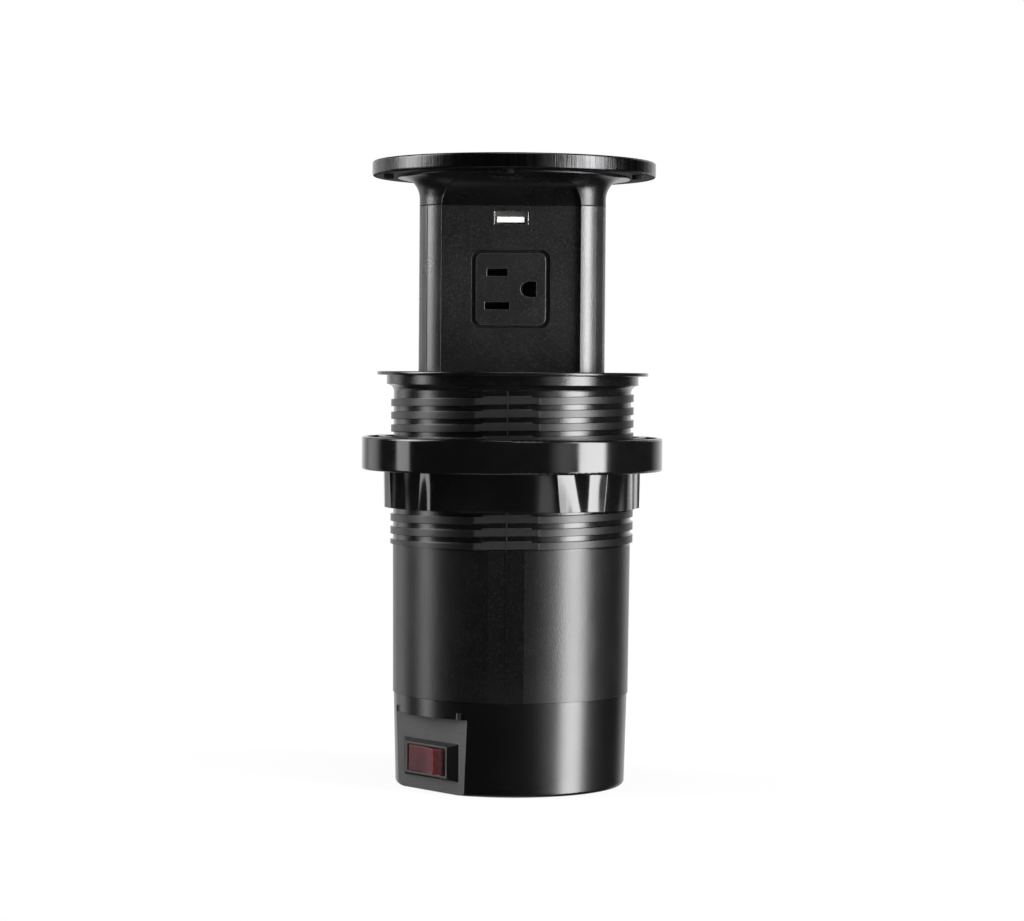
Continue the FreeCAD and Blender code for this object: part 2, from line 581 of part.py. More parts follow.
def makeCap():
    body = newBody("base_cap")
    cup = newSketch(body, "cup_section", "XZ_Plane")
    drawOutline(cup, [
        ("0", "0"),
        ("capFootRadius - capEdge", "0"),
        ("capFootRadius", "capEdge", "capEdge"),
        ("capTopRadius", "seamHeight"),
        ("spigotRadius", "seamHeight"),
        ("spigotRadius", "spigotTop"),
        ("capBore", "spigotTop"),
        ("capBore", "capFloor"),
        ("0", "capFloor"),
    ])
    spin(body, "Revolution", "cup", cup)
    column = newSketch(body, "column_section", "XY_Plane", "capFloor / 2")
    drawCircle(column, *polarPlace("columnRing", 15), "columnRadius")
    columnPad = extrude(body, "Pad", "column", column, "spigotTop - capFloor / 2")
    repeatRound(body, "columns", [columnPad], 3)
    hole = newSketch(body, "column_hole_section", "XY_Plane")
    drawCircle(hole, *polarPlace("columnRing", 15), "screwClear")
    holeCut = extrude(body, "Pocket", "column_hole", hole, "spigotTop", away=True)
    well = newSketch(body, "column_well_section", "XY_Plane")
    drawCircle(well, *polarPlace("columnRing", 15), "screwHead + 0.2")
    wellCut = extrude(body, "Pocket", "column_well", well, "seamHeight - 6", away=True)
    repeatRound(body, "column_holes", [holeCut, wellCut], 3)
    fill = turnedSketch(body, "switch_fill_outline", "switchAzimuth", "switchPlane - switchWall")
    chord = "sqrt((capBore + 0.5)^2 - (switchPlane - switchWall)^2)"
    drawOutline(fill, plainBox(f"-{chord}", chord, "capFloor / 2", "switchLedge + switchWall"))
    extrude(body, "Pad", "switch_fill", fill, "capBore + 0.5 - switchPlane + switchWall")
    flat = turnedSketch(body, "switch_flat_outline", "switchAzimuth", "switchPlane")
    drawOutline(flat, plainBox("-25", "25", "-1", "switchLedge"))
    extrude(body, "Pocket", "switch_flat", flat, "capTopRadius", away=True)
    opening = turnedSketch(body, "switch_opening_outline", "switchAzimuth", "switchPlane + 1")
    half = "switchBodyLength / 2 + switchFit"
    tall = "switchBodyHeight / 2 + switchFit"
    drawOutline(opening, plainBox(f"-({half})", half, f"switchHeight - ({tall})", f"switchHeight + {tall}"))
    extrude(body, "Pocket", "switch_opening", opening, "switchWall + 3")
    seat = newSketch(body, "gland_seat_outline", "XZ_Plane", "-(capTopRadius + 2)")
    drawCircle(seat, "0", "glandHeight", "glandCollar + 0.3")
    extrude(body, "Pocket", "gland_seat", seat, "capTopRadius + 2 - glandSeat", away=True)
    gland = newSketch(body, "gland_hole_outline", "XZ_Plane", "-(capTopRadius + 2)")
    drawCircle(gland, "0", "glandHeight", "glandThread + 0.1")
    extrude(body, "Pocket", "gland_hole", gland, "capTopRadius - capBore + 6", away=True)


def facePoint(u, n, side=1):
    """Point of a corner post given along and out of the neighbouring panel's face."""
    x = f"{side} * ({u} * cos(60) + ({n}) * sin(60))"
    y = f"{u} * sin(60) - ({n}) * cos(60)"
    return x, y


def postArcPoint(angle, radius):
    return f"({radius}) * sin({angle})", f"-postOffset - ({radius}) * cos({angle})"


def makePost(name, azimuth):
    body = newBody("corner_post_" + name, azimuth)
    section = newSketch(body, f"post_{name}_section", "XY_Plane", "baseTop")
    halfLine = "lineWidth / 2 / postRadius * 57.2958"
    ledgeBack = "panelBack - panelGap - ledgeThickness"
    side = [
        ("-panelHalf", "lipN"),
        ("-panelHalf", "panelPlane"),
        ("-grooveU", "panelPlane"),
        ("-grooveU", "panelBack - panelGap"),
        ("-ledgeU", "panelBack - panelGap"),
        ("-ledgeU", ledgeBack),
    ]
    points = [facePoint(f"({u})", n) for u, n in side]
    points += [facePoint(f"({u})", n, -1) for u, n in reversed(side)]
    points.append((*postArcPoint(f"-lineAngle - {halfLine}", "postRadius"), "postRadius"))
    points.append(postArcPoint("-lineAngle", "postRadius - lineDepth"))
    points.append(postArcPoint(f"-lineAngle + {halfLine}", "postRadius"))
    points.append((*postArcPoint(f"lineAngle - {halfLine}", "postRadius"), "postRadius"))
    points.append(postArcPoint("lineAngle", "postRadius - lineDepth"))
    points.append(postArcPoint(f"lineAngle + {halfLine}", "postRadius"))
    points[0] = (*points[0], "postRadius")
    drawOutline(section, points)
    drawCircle(section, "0", "-postScrewRing", "screwHole")
    extrude(body, "Pad", f"post_{name}", section, "seam - (baseTop)")


def makePanel(face, azimuth):
    body = newBody(face + "_panel", azimuth)
    section = newSketch(body, f"{face}_panel_section", "XY_Plane", "baseTop")
    half = "grooveU - panelGap"
    drawOutline(section, plainBox(f"-({half})", half, "-panelPlane", "-(panelBack)"))
    extrude(body, "Pad", f"{face}_sheet", section, "seam - (baseTop)")
    opening = newSketch(body, f"{face}_panel_openings", "XZ_Plane", "panelPlane + 1")
    drawOutline(opening, roundedBox("0", "outletMid", "outletWidth", "outletHeight", "outletCorner"))
    drawOutline(opening, roundedBox("0", "usbMid", "usbWidth + 0.3", "usbHeight + 0.3", "usbCorner + 0.15"))
    extrude(body, "Pocket", f"{face}_openings", opening, "panelThickness + 2")


# Contacts of an outlet: name, place along the face, height over its middle, half width, half height
contactPlaces = [
    ("live", "bladePlace", "bladeRise", "liveSlot / 2 + 0.7", "bladeSlot / 2 + 0.7"),
    ("neutral", "bladePlace", "-bladeRise", "neutralSlot / 2 + 0.7", "bladeSlot / 2 + 0.7"),
    ("earth", "earthPlace", "0", "earthRadius + 0.65", "earthRadius + 0.65"),
]


def contactBox(place, rise, halfWidth, halfHeight):
    low = f"outletMid + {rise} - ({halfHeight})"
    high = f"outletMid + {rise} + {halfHeight}"
    return plainBox(f"{place} - ({halfWidth})", f"{place} + {halfWidth}", low, high)


def makeOutlet(face, azimuth):
    body = newBody("outlet_" + face, azimuth)
    lip = newSketch(body, f"{face}_lip_outline", "XZ_Plane", "panelBack")
    lipWidth = "outletWidth + 2 * outletLip"
    lipHeight = "outletHeight + 2 * outletLip"
    drawOutline(lip, roundedBox("0", "outletMid", lipWidth, lipHeight, "outletCorner"))
    extrude(body, "Pad", f"{face}_lip", lip, "outletLip", away=True)
    core = newSketch(body, f"{face}_core_outline", "XZ_Plane", "outletFront")
    coreWidth = "outletWidth - 2 * outletGap"
    coreHeight = "outletHeight - 2 * outletGap"
    drawOutline(core, roundedBox("0", "outletMid", coreWidth, coreHeight, "outletCorner - outletGap"))
    extrude(body, "Pad", f"{face}_core", core, "outletDepth - moatDepth", away=True)
    island = newSketch(body, f"{face}_island_outline", "XZ_Plane", "panelPlane")
    drawOutline(island, roundedBox("0", "outletMid", "islandWidth", "islandHeight", "islandCorner"))
    extrude(body, "Pad", f"{face}_island", island, "moatDepth + 0.5", away=True)
    slots = newSketch(body, f"{face}_slots_outline", "XZ_Plane", "panelPlane + 1")
    for rise, length in (("bladeRise", "liveSlot"), ("-bladeRise", "neutralSlot")):
        left = f"bladePlace - {length} / 2"
        right = f"bladePlace + {length} / 2"
        low = f"outletMid + {rise} - bladeSlot / 2"
        high = f"outletMid + {rise} + bladeSlot / 2"
        drawOutline(slots, plainBox(left, right, low, high))
    drawOutline(slots, [
        ("earthPlace", "outletMid - earthRadius", "earthRadius"),
        ("earthPlace + earthFlat", "outletMid - earthRadius"),
        ("earthPlace + earthFlat", "outletMid + earthRadius"),
        ("earthPlace", "outletMid + earthRadius"),
    ])
    extrude(body, "Pocket", f"{face}_slots", slots, "slotWall + 1.5")
    wells = newSketch(body, f"{face}_wells_outline", "XZ_Plane", "panelPlane - slotWall")
    for contact in contactPlaces:
        drawOutline(wells, contactBox(*contact[1:]))
    extrude(body, "Pocket", f"{face}_wells", wells, "outletDepth - slotWall - 2")


def makeContact(face, azimuth, contact):
    name, place, rise, halfWidth, halfHeight = contact
    label = f"{name}_contact_{face}"
    body = newBody(label, azimuth)
    outline = newSketch(body, label + "_outline", "XZ_Plane", "panelPlane - slotWall")
    drawOutline(outline, contactBox(place, rise, halfWidth, halfHeight))
    extrude(body, "Pad", label + "_block", outline, "outletDepth - slotWall - 2", away=True)
    mouth = newSketch(body, label + "_mouth_outline", "XZ_Plane", "panelPlane - slotWall")
    if name == "earth":
        drawCircle(mouth, place, "outletMid", "earthRadius - 0.55")
    else:
        drawOutline(mouth, contactBox(place, rise, halfWidth + " + 1", "0.75"))
    extrude(body, "Pocket", label + "_mouth", mouth, "outletDepth - slotWall - 3")


def makeUsb(face, azimuth):
    shell = newBody("usb_shell_" + face, azimuth)
    tube = newSketch(shell, f"{face}_shell_outline", "XZ_Plane", "panelPlane")
    drawOutline(tube, roundedBox("0", "usbMid", "usbWidth", "usbHeight", "usbCorner"))
    innerWidth = "usbWidth - 2 * usbWall"
    innerHeight = "usbHeight - 2 * usbWall"
    inner = roundedBox("0", "usbMid", innerWidth, innerHeight, "usbCorner - usbWall")
    drawOutline(tube, inner)
    extrude(shell, "Pad", f"{face}_shell", tube, "usbDepth", away=True)
    insert = newBody("usb_tongue_" + face, azimuth)
    back = newSketch(insert, f"{face}_insert_outline", "XZ_Plane", "panelPlane - usbDepth")
    drawOutline(back, inner)
    extrude(insert, "Pad", f"{face}_insert", back, "3")
    tongue = newSketch(insert, f"{face}_tongue_outline", "XZ_Plane", "panelPlane - usbDepth")
    left = "tongueShift - tongueWidth / 2"
    right = "tongueShift + tongueWidth / 2"
    low = "usbMid - tongueDrop - tongueThickness / 2"
    high = "usbMid - tongueDrop + tongueThickness / 2"
    drawOutline(tongue, plainBox(left, right, low, high))
    extrude(insert, "Pad", f"{face}_tongue", tongue, "usbDepth - tongueInset")
    board = newBody("usb_board_" + face, azimuth)
    boardFoot = "usbMid - usbHeight / 2 - boardThickness"
    sheetOutline = newSketch(board, f"{face}_board_outline", "XY_Plane", boardFoot)
    drawOutline(sheetOutline, plainBox("-boardWidth / 2", "boardWidth / 2", "-(panelBack)", "-boardBack"))
    extrude(board, "Pad", f"{face}_board", sheetOutline, "boardThickness")


def edgesAt(feature, height, reach):
    """Names of the level edges of a feature at a height and inside a radius."""
    names = []
    for i, edge in enumerate(feature.Shape.Edges, start=1):
        box = edge.BoundBox
        level = abs(box.ZMin - height) < 1e-4 and abs(box.ZMax - height) < 1e-4
        far = max(math.hypot(vertex.X, vertex.Y) for vertex in edge.Vertexes)
        if level and far < reach:
            names.append(f"Edge{i}")
    return names


def makeHead():
    block = newBody("head_block")
    prism = newSketch(block, "head_outline", "XY_Plane", "seam")
    drawOutline(prism, towerOutline("postRadius"))
    extrude(block, "Pad", "head_prism", prism, "lidRise - seamRise")
    rim = newSketch(block, "head_rim_outline", "XY_Plane", "plateUnder")
    drawCircle(rim, "0", "0", "headRadius + 7")
    plate = extrude(block, "Pad", "head_rim", rim, "headPlate")
    document.recompute()
    flare = block.newObject("PartDesign::Fillet", "head_flare")
    flare.Base = (plate, edgesAt(plate, number("plateUnder"), number("headRadius")))
    flare.setExpression("Radius", formula("headFlare"))
    trim = newSketch(block, "head_trim_section", "XZ_Plane")
    drawOutline(trim, plainBox("headRadius", "headRadius + 9", "seam - 1", "lidUnder + 1"))
    spin(block, "Groove", "head_trim", trim)
    hollow = newSketch(block, "head_hollow_outline", "XY_Plane", "seam")
    drawOutline(hollow, towerOutline("panelPlane - headWall - (postN)"))
    extrude(block, "Pocket", "head_hollow", hollow, "lidRise - seamRise - headCeiling", away=True)
    boss = newSketch(block, "head_boss_outline", "XY_Plane", "seam")
    drawCircle(boss, *polarPlace("postScrewRing", 60), "screwHead + 1.2")
    bossPad = extrude(block, "Pad", "head_boss", boss, "lidRise - seamRise - headCeiling / 2")
    repeatRound(block, "head_bosses", [bossPad], 3)
    shank = newSketch(block, "head_shank_hole_outline", "XY_Plane", "seam")
    drawCircle(shank, *polarPlace("postScrewRing", 60), "screwClear")
    shankHole = extrude(block, "Pocket", "head_shank_hole", shank, "lidRise - seamRise", away=True)
    well = newSketch(block, "head_well_outline", "XY_Plane", "lidUnder")
    drawCircle(well, *polarPlace("postScrewRing", 60), "screwHead + 0.2")
    wellCut = extrude(block, "Pocket", "head_well", well, "screwHeadHeight + 0.2")
    lidHole = newSketch(block, "lid_screw_hole_outline", "XY_Plane", "seam")
    drawCircle(lidHole, *polarPlace("lidScrewRing", 0), "screwClear")
    lidHoleCut = extrude(block, "Pocket", "lid_screw_hole", lidHole, "lidRise - seamRise", away=True)
    repeatRound(block, "head_holes", [shankHole, wellCut, lidHoleCut], 3)
    arch = newBody("head_arches")
    window = newSketch(arch, "arch_outline", "XZ_Plane", "panelPlane - 4")
    corner = "plateUnder - (seam)"
    drawOutline(window, [
        ("-panelHalf", "seam - 1"),
        ("panelHalf", "seam - 1"),
        ("panelHalf", "seam"),
        (f"panelHalf - ({corner})", "plateUnder", corner),
        (f"-panelHalf + {corner}", "plateUnder"),
        ("-panelHalf", "seam", corner),
    ])
    archPad = extrude(arch, "Pad", "arch", window, "headRadius - panelPlane + 10")
    repeatRound(arch, "arches", [archPad], 3)
    cove = newBody("head_coves")
    outside = newSketch(cove, "cove_section", "YZ_Plane")
    drawOutline(outside, [
        ("-panelPlane", "seam - 1.5"),
        ("-panelPlane", "plateUnder - coveRadius"),
        ("-panelPlane - coveRadius", "plateUnder", "coveRadius"),
        ("-headRadius - 9", "plateUnder"),
        ("-headRadius - 9", "seam - 1.5"),
    ])
    covePad = extrude(cove, "Pad", "cove", outside, "2 * panelHalf + 6", midplane=True)
    repeatRound(cove, "coves", [covePad], 3)
    windows = document.addObject("Part::Common", "head_windows")
    windows.Base = arch
    windows.Tool = cove
    head = document.addObject("Part::Cut", "tower_head")
    head.Base = block
    head.Tool = windows
    head.Label = "tower_head"


def makeLid():
    body = newBody("lid_disc")
    section = newSketch(body, "lid_section", "XZ_Plane")
    drawOutline(section, [
        ("0", "lidUnder"),
        ("lidRadius - lidEdge", "lidUnder"),
        ("lidRadius", "lidUnder + lidEdge", "lidEdge"),
        ("lidRadius", "lidUnder + lidThickness - lidEdge"),
        ("lidRadius - lidEdge", "lidUnder + lidThickness", "lidEdge"),
        ("0", "lidUnder + lidThickness"),
    ])
    spin(body, "Revolution", "lid", section)
    hole = newSketch(body, "lid_hole_outline", "XY_Plane", "lidUnder")
    drawCircle(hole, *polarPlace("lidScrewRing", 0), "screwHole")
    cut = extrude(body, "Pocket", "lid_hole", hole, "lidThickness - 1.8", away=True)
    repeatRound(body, "lid_holes", [cut], 3)
    pads = newBody("lid_pads")
    pad = newSketch(pads, "pad_outline", "XY_Plane", "lidUnder - padHeight")
    drawCircle(pad, *polarPlace("padRing", 0), "padRadius")
    padPad = extrude(pads, "Pad", "pad", pad, "padHeight")
    repeatRound(pads, "pads", [padPad], 5)


def makeTowerBase():
    body = newBody("tower_base")
    outline = newSketch(body, "tower_base_outline", "XY_Plane", "baseUnder")
    drawOutline(outline, towerOutline("postRadius + baseFlange"))
    drawCircle(outline, "0", "0", "8")
    extrude(body, "Pad", "tower_floor", outline, "baseThickness")
    makeSaddle(body, "upper_saddle", "baseUnder - saddleHeight", "leadHead")
    hole = newSketch(body, "base_screw_hole_outline", "XY_Plane", "baseUnder")
    drawCircle(hole, *polarPlace("postScrewRing", 60), "screwClear")
    cut = extrude(body, "Pocket", "base_screw_hole", hole, "baseThickness", away=True)
    repeatRound(body, "base_screw_holes", [cut], 3)


def makeSaddle(body, name, foot, leadHeight):
    """Block with a round channel that holds one end of the coiled lead."""
    block = newSketch(body, name + "_outline", "XY_Plane", foot)
    half = "leadRadius + 2.2"
    drawOutline(block, plainBox(f"leadCoil - ({half})", f"leadCoil + {half}", "-3", "3"))
    extrude(body, "Pad", name, block, "saddleHeight")
    channel = newSketch(body, name + "_channel_outline", "XZ_Plane", "-4")
    drawCircle(channel, "leadCoil", leadHeight, "leadRadius + 0.8")
    extrude(body, "Pocket", name + "_channel", channel, "8", away=True)


def makePartition():
    body = newBody("partition_plate")
    outline = newSketch(body, "partition_outline", "XY_Plane", "spigotTop")
    drawCircle(outline, "0", "0", "boreRadius - 0.3")
    drawCircle(outline, *polarPlace("leadCoil", 65), "leadRadius + 1.5")
    extrude(body, "Pad", "partition", outline, "partitionThickness")
    makeSaddle(body, "lower_saddle", "partitionTop", "leadFoot")
    hole = newSketch(body, "partition_hole_outline", "XY_Plane", "spigotTop")
    drawCircle(hole, *polarPlace("columnRing", 15), "screwClear")
    cut = extrude(body, "Pocket", "partition_hole", hole, "partitionThickness", away=True)
    repeatRound(body, "partition_holes", [cut], 3)


def makeLead():
    body = newBody("lift_lead")
    section = newSketch(body, "lead_section", "XZ_Plane")
    drawCircle(section, "leadCoil", "leadFoot", "leadRadius")
    helix(body, "lead_coil", section, "(leadHead - (leadFoot)) / leadTurns", "leadTurns")


def makeSprings():
    body = newBody("brake_springs", "60")
    leaf = newSketch(body, "leaf_section", "YZ_Plane")
    outer = [
        ("postScrewRing - 4.4", "baseUnder"),
        ("boreRadius - 3.9", "baseUnder"),
        ("springReach", "springHeight + 3"),
        ("springReach", "springHeight - 3"),
        ("boreRadius - 3.4", "baseUnder - 17"),
        ("boreRadius - 3.4 - springThickness", "baseUnder - 17 + springThickness / 4"),
        ("springReach - springThickness", "springHeight - 3 + springThickness / 4"),
        ("springReach - springThickness", "springHeight + 3 - springThickness / 4"),
        ("boreRadius - 3.9 - springThickness", "baseUnder - springThickness"),
        ("postScrewRing - 4.4", "baseUnder - springThickness"),
    ]
    drawOutline(leaf, [(f"-({r})", z) for r, z in outer])
    leafPad = extrude(body, "Pad", "leaf", leaf, "springWidth", midplane=True)
    hole = newSketch(body, "leaf_hole_outline", "XY_Plane", "baseUnder - 1")
    drawCircle(hole, "0", "-postScrewRing", "screwClear")
    cut = extrude(body, "Pocket", "leaf_hole", hole, "2", away=True)
    repeatRound(body, "leaves", [leafPad, cut], 3)


def makeNut():
    body = newBody("clamp_nut")
    section = newSketch(body, "nut_section", "XZ_Plane")
    drawOutline(section, [
        ("nutBore", "nutFoot + 0.6"),
        ("nutBore + 0.6", "nutFoot"),
        ("collarFoot", "nutFoot"),
        ("collarRadius", "ringFoot"),
        ("nutRadius - nutEdge", "ringFoot"),
        ("nutRadius", "ringFoot + nutEdge", "nutEdge"),
        ("nutRadius", "nutTop - nutRimEdge"),
        ("nutRadius - nutRimEdge", "nutTop", "nutRimEdge"),
        ("nutRadius - nutRimWall", "nutTop"),
        ("nutRadius - nutRimWall", "channelFloor"),
        ("sleeveOuter", "channelFloor"),
        ("sleeveOuter", "sleeveTop"),
        ("nutBore", "sleeveTop"),
    ])
    spin(body, "Revolution", "nut", section)
    tooth = newSketch(body, "nut_thread_section", "XZ_Plane")
    firstCrest = "threadPhase + threadPitch * (ceil(nutStart) + 0.5)"
    drawOutline(tooth, [
        ("nutCrest", f"{firstCrest} - nutTipWidth / 2"),
        ("nutBore + 0.3", f"{firstCrest} - nutRootWidth / 2"),
        ("nutBore + 0.3", f"{firstCrest} + nutRootWidth / 2"),
        ("nutCrest", f"{firstCrest} + nutTipWidth / 2"),
    ])
    helix(body, "nut_thread", tooth, "threadPitch", "nutTurns")
    grip = newSketch(body, "grip_outline", "XY_Plane", "nutFoot - 1")
    outside = "collarRadius + 3"
    corners = []
    for u, n in (("-14", "collarFlat"), ("14", "collarFlat"), ("14", outside), ("-14", outside)):
        x = f"({n}) * sin(collarPhase) + {u} * cos(collarPhase)"
        y = f"-({n}) * cos(collarPhase) + {u} * sin(collarPhase)"
        corners.append((x, y))
    drawOutline(grip, corners)
    gripCut = extrude(body, "Pocket", "grip", grip, "nutHeight - nutRing + 1", away=True)
    repeatRound(body, "grips", [gripCut], 8)


def makeSlipRing():
    body = newBody("slip_ring")
    section = newSketch(body, "slip_section", "XZ_Plane")
    drawOutline(section, [
        ("sleeveOuter + slipGap", "channelFloor + 0.1"),
        ("nutRadius - nutRimWall - slipGap", "channelFloor + 0.1"),
        ("nutRadius - nutRimWall - slipGap", "channelFloor + 0.1 + slipFoot"),
        ("sleeveOuter + slipGap + slipWall", "channelFloor + 0.1 + slipFoot"),
        ("sleeveOuter + slipGap + slipWall", "nutTop + slipProud"),
        ("sleeveOuter + slipGap", "nutTop + slipProud"),
    ])
    spin(body, "Revolution", "slip", section)


def makeSwitch():
    body = newBody("switch_frame", "switchAzimuth")
    foot = newSketch(body, "bezel_foot_outline", "XZ_Plane", "switchPlane")
    drawOutline(foot, centredBox("bezelLength", "bezelHeight"))
    ridge = newSketch(body, "bezel_ridge_outline", "XZ_Plane", "ridgePlane")
    drawOutline(ridge, centredBox("ridgeLength", "ridgeHeight"))
    bezel = body.newObject("PartDesign::AdditiveLoft", "bezel")
    bezel.Profile = foot
    bezel.Sections = [(ridge, [""])]
    bezel.Ruled = True
    box = newSketch(body, "switch_box_outline", "XZ_Plane", "switchPlane")
    drawOutline(box, centredBox("switchBodyLength", "switchBodyHeight"))
    extrude(body, "Pad", "switch_box", box, "switchBodyDepth", away=True)
    opening = newSketch(body, "rocker_opening_outline", "XZ_Plane", "ridgePlane + 1")
    drawOutline(opening, centredBox("2 * (rockerReach + rockerGap)", "rockerHeight + 2 * rockerGap"))
    extrude(body, "Pocket", "rocker_opening", opening, "pivotDepth + rockerWell + 1")
    pivot = newSketch(body, "pivot_hole_outline", "XY_Plane", "switchHeight - 9")
    drawCircle(pivot, "0", "-(pivotPlane)", "pivotRadius + pinGap")
    extrude(body, "Pocket", "pivot_hole", pivot, "18", away=True)
    for name, place in (("line", "-8.5"), ("load", "0"), ("lamp", "8.5")):
        blade = newBody(name + "_terminal", "switchAzimuth")
        outline = newSketch(blade, name + "_terminal_outline", "XZ_Plane", "boxBack")
        left = f"{place} - terminalThickness / 2"
        right = f"{place} + terminalThickness / 2"
        low = "switchHeight - terminalWidth / 2"
        high = "switchHeight + terminalWidth / 2"
        drawOutline(outline, plainBox(left, right, low, high))
        extrude(blade, "Pad", name + "_blade", outline, "terminalLength", away=True)
        eye = newSketch(blade, name + "_eye_outline", "YZ_Plane", "-15")
        drawCircle(eye, "-(boxBack) + terminalLength - 2.4", "switchHeight", "0.9")
        extrude(blade, "Pocket", name + "_eye", eye, "30", away=True)


def centredBox(width, height):
    low = f"switchHeight - ({height}) / 2"
    high = f"switchHeight + ({height}) / 2"
    return plainBox(f"-({width}) / 2", f"({width}) / 2", low, high)


def makeRocker():
    body = newBody("rocker", "switchAzimuth")
    section = newSketch(body, "rocker_section", "XY_Plane", "switchHeight - rockerHeight / 2")
    turnToPivot(section)
    corner = "rockerRise"
    halfFace = "sqrt(rockerReach^2 - rockerRise^2)"
    faceRadius = f"(({halfFace})^2 + rockerHollow^2) / (2 * rockerHollow)"
    footX = "rockerReach * cos(18)"
    footY = "rockerReach * sin(18)"
    drawOutline(section, [
        (f"-({halfFace})", f"-{corner}", "rockerReach"),
        (halfFace, f"-{corner}", f"-({faceRadius})"),
        (footX, footY, "rockerReach"),
        ("0", "rockerReach * 0.46"),
        (f"-({footX})", footY),
    ])
    extrude(body, "Pad", "rocker_block", section, "rockerHeight")
    grooveFoot = "switchHeight - rockerHeight / 2 + grooveSide"
    grooves = newSketch(body, "rocker_groove_outlines", "XY_Plane", grooveFoot)
    turnToPivot(grooves)
    for place in ("grooveEnd", "grooveEnd + groovePitch"):
        left = f"{halfFace} - ({place}) - grooveWidth / 2"
        right = f"{halfFace} - ({place}) + grooveWidth / 2"
        drawOutline(grooves, plainBox(left, right, "-(rockerRise + 1)", "rockerHollow - rockerRise"))
    extrude(body, "Pocket", "rocker_grooves", grooves, "rockerHeight - 2 * grooveSide", away=True)
    pin = newSketch(body, "rocker_pin_outline", "XY_Plane", "switchHeight - rockerHeight / 2 - 1.05")
    drawCircle(pin, "0", "-(pivotPlane)", "pivotRadius")
    extrude(body, "Pad", "rocker_pin", pin, "rockerHeight + 2.1")


def turnToPivot(sketch):
    """Lay a level sketch on the rocker's pivot, leaning with the rocker."""
    turn = FreeCAD.Rotation(FreeCAD.Vector(0, 0, 1), -number("rockerTilt"))
    offset = FreeCAD.Vector(0, -number("pivotPlane"), sketch.AttachmentOffset.Base.z)
    sketch.AttachmentOffset = FreeCAD.Placement(offset, turn)
    sketch.setExpression("AttachmentOffset.Rotation.Angle", formula("-rockerTilt"))
    sketch.setExpression("AttachmentOffset.Base.y", formula("-(pivotPlane)"))


def makeGland():
    body = newBody("cable_gland", "180")
    section = newSketch(body, "gland_section", "YZ_Plane")
    section.setExpression("AttachmentOffset.Base.y", formula("glandHeight"))
    drawOutline(section, [(f"-({r})", z) for r, z in [
        ("glandSeat - 8.5", "glandBore"),
        ("glandSeat + 13.4", "glandBore"),
        ("glandSeat + 13.4", "glandBore + 1.2"),
        ("glandSeat + 10.5", "glandCollar - 1.9"),
        ("glandSeat + 6", "glandCollar - 0.9"),
        ("glandSeat + 5", "glandCollar - 1.5"),
        ("glandSeat + 4", "glandCollar"),
        ("glandSeat", "glandCollar"),
        ("glandSeat", "glandThread"),
        ("glandSeat - 8.5", "glandThread"),
    ]])
    spin(body, "Revolution", "gland", section, "H_Axis")
    nut = newBody("gland_nut", "180")
    outline = newSketch(nut, "gland_nut_outline", "XZ_Plane", "glandSeat - 3.3")
    corners = [(f"9 * sin({angle})", f"glandHeight + 9 * cos({angle})") for angle in range(0, 360, 60)]
    drawOutline(outline, corners)
    drawCircle(outline, "0", "glandHeight", "glandThread + 0.06")
    extrude(nut, "Pad", "gland_nut_block", outline, "3.6", away=True)


makeBarrel()
makeGuideRing()
makeScrews("guide_screws", "ringScrewRing", "0", "ringTop - 15", "15", False)
makeCap()
makeScrews("cap_screws", "columnRing", "15", "seamHeight - 6", "26.3", True)
makePartition()
makeSwitch()
makeRocker()
makeGland()
makeNut()
makeSlipRing()
makeLid()
lidScrewLength = "headCeiling + lidThickness - 2.3"
makeScrews("lid_screws", "lidScrewRing", "0", "lidUnder - headCeiling", lidScrewLength, True)
makeHead()
headScrewLength = "lidRise - seamRise + 9.4 - screwHeadHeight - 0.2"
makeScrews("head_screws", "postScrewRing", "60", "seam - 9.4", headScrewLength, False)
for postName, postAzimuth in (("right", "60"), ("left", "-60"), ("rear", "180")):
    makePost(postName, postAzimuth)
for faceName, faceAzimuth in (("front", "0"), ("right", "120"), ("left", "-120")):
    makePanel(faceName, faceAzimuth)
    makeOutlet(faceName, faceAzimuth)
    for contactPlace in contactPlaces:
        makeContact(faceName, faceAzimuth, contactPlace)
    makeUsb(faceName, faceAzimuth)
makeTowerBase()
makeScrews("base_screws", "postScrewRing", "60", "baseUnder - springThickness", "baseThickness + 10", True)
makeSprings()
makeLead()
document.recompute()

# Every piece is checked before anything is written
helpers = ("head_block", "head_arches", "head_coves")
bodies = [item for item in document.Objects if item.TypeId == "PartDesign::Body"]
pieces = [item for item in bodies if item.Label not in helpers]
pieces.append(document.getObject("tower_head"))
for item in document.Objects:
    if "Invalid" in item.State or "Error" in item.State:
        raise RuntimeError(f"{item.Label} is {item.State}")
for piece in pieces:
    if piece.Shape.isNull() or not piece.Shape.isValid():
        raise RuntimeError(f"{piece.Label} has no sound shape")
os.makedirs("parts", exist_ok=True)
for piece in pieces:
    piece.Shape.exportStep(f"parts/{piece.Label}.step")
    print(piece.Label, len(piece.Shape.Solids), round(piece.Shape.Volume, 1))
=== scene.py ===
import math

import bpy
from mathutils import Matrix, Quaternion, Vector


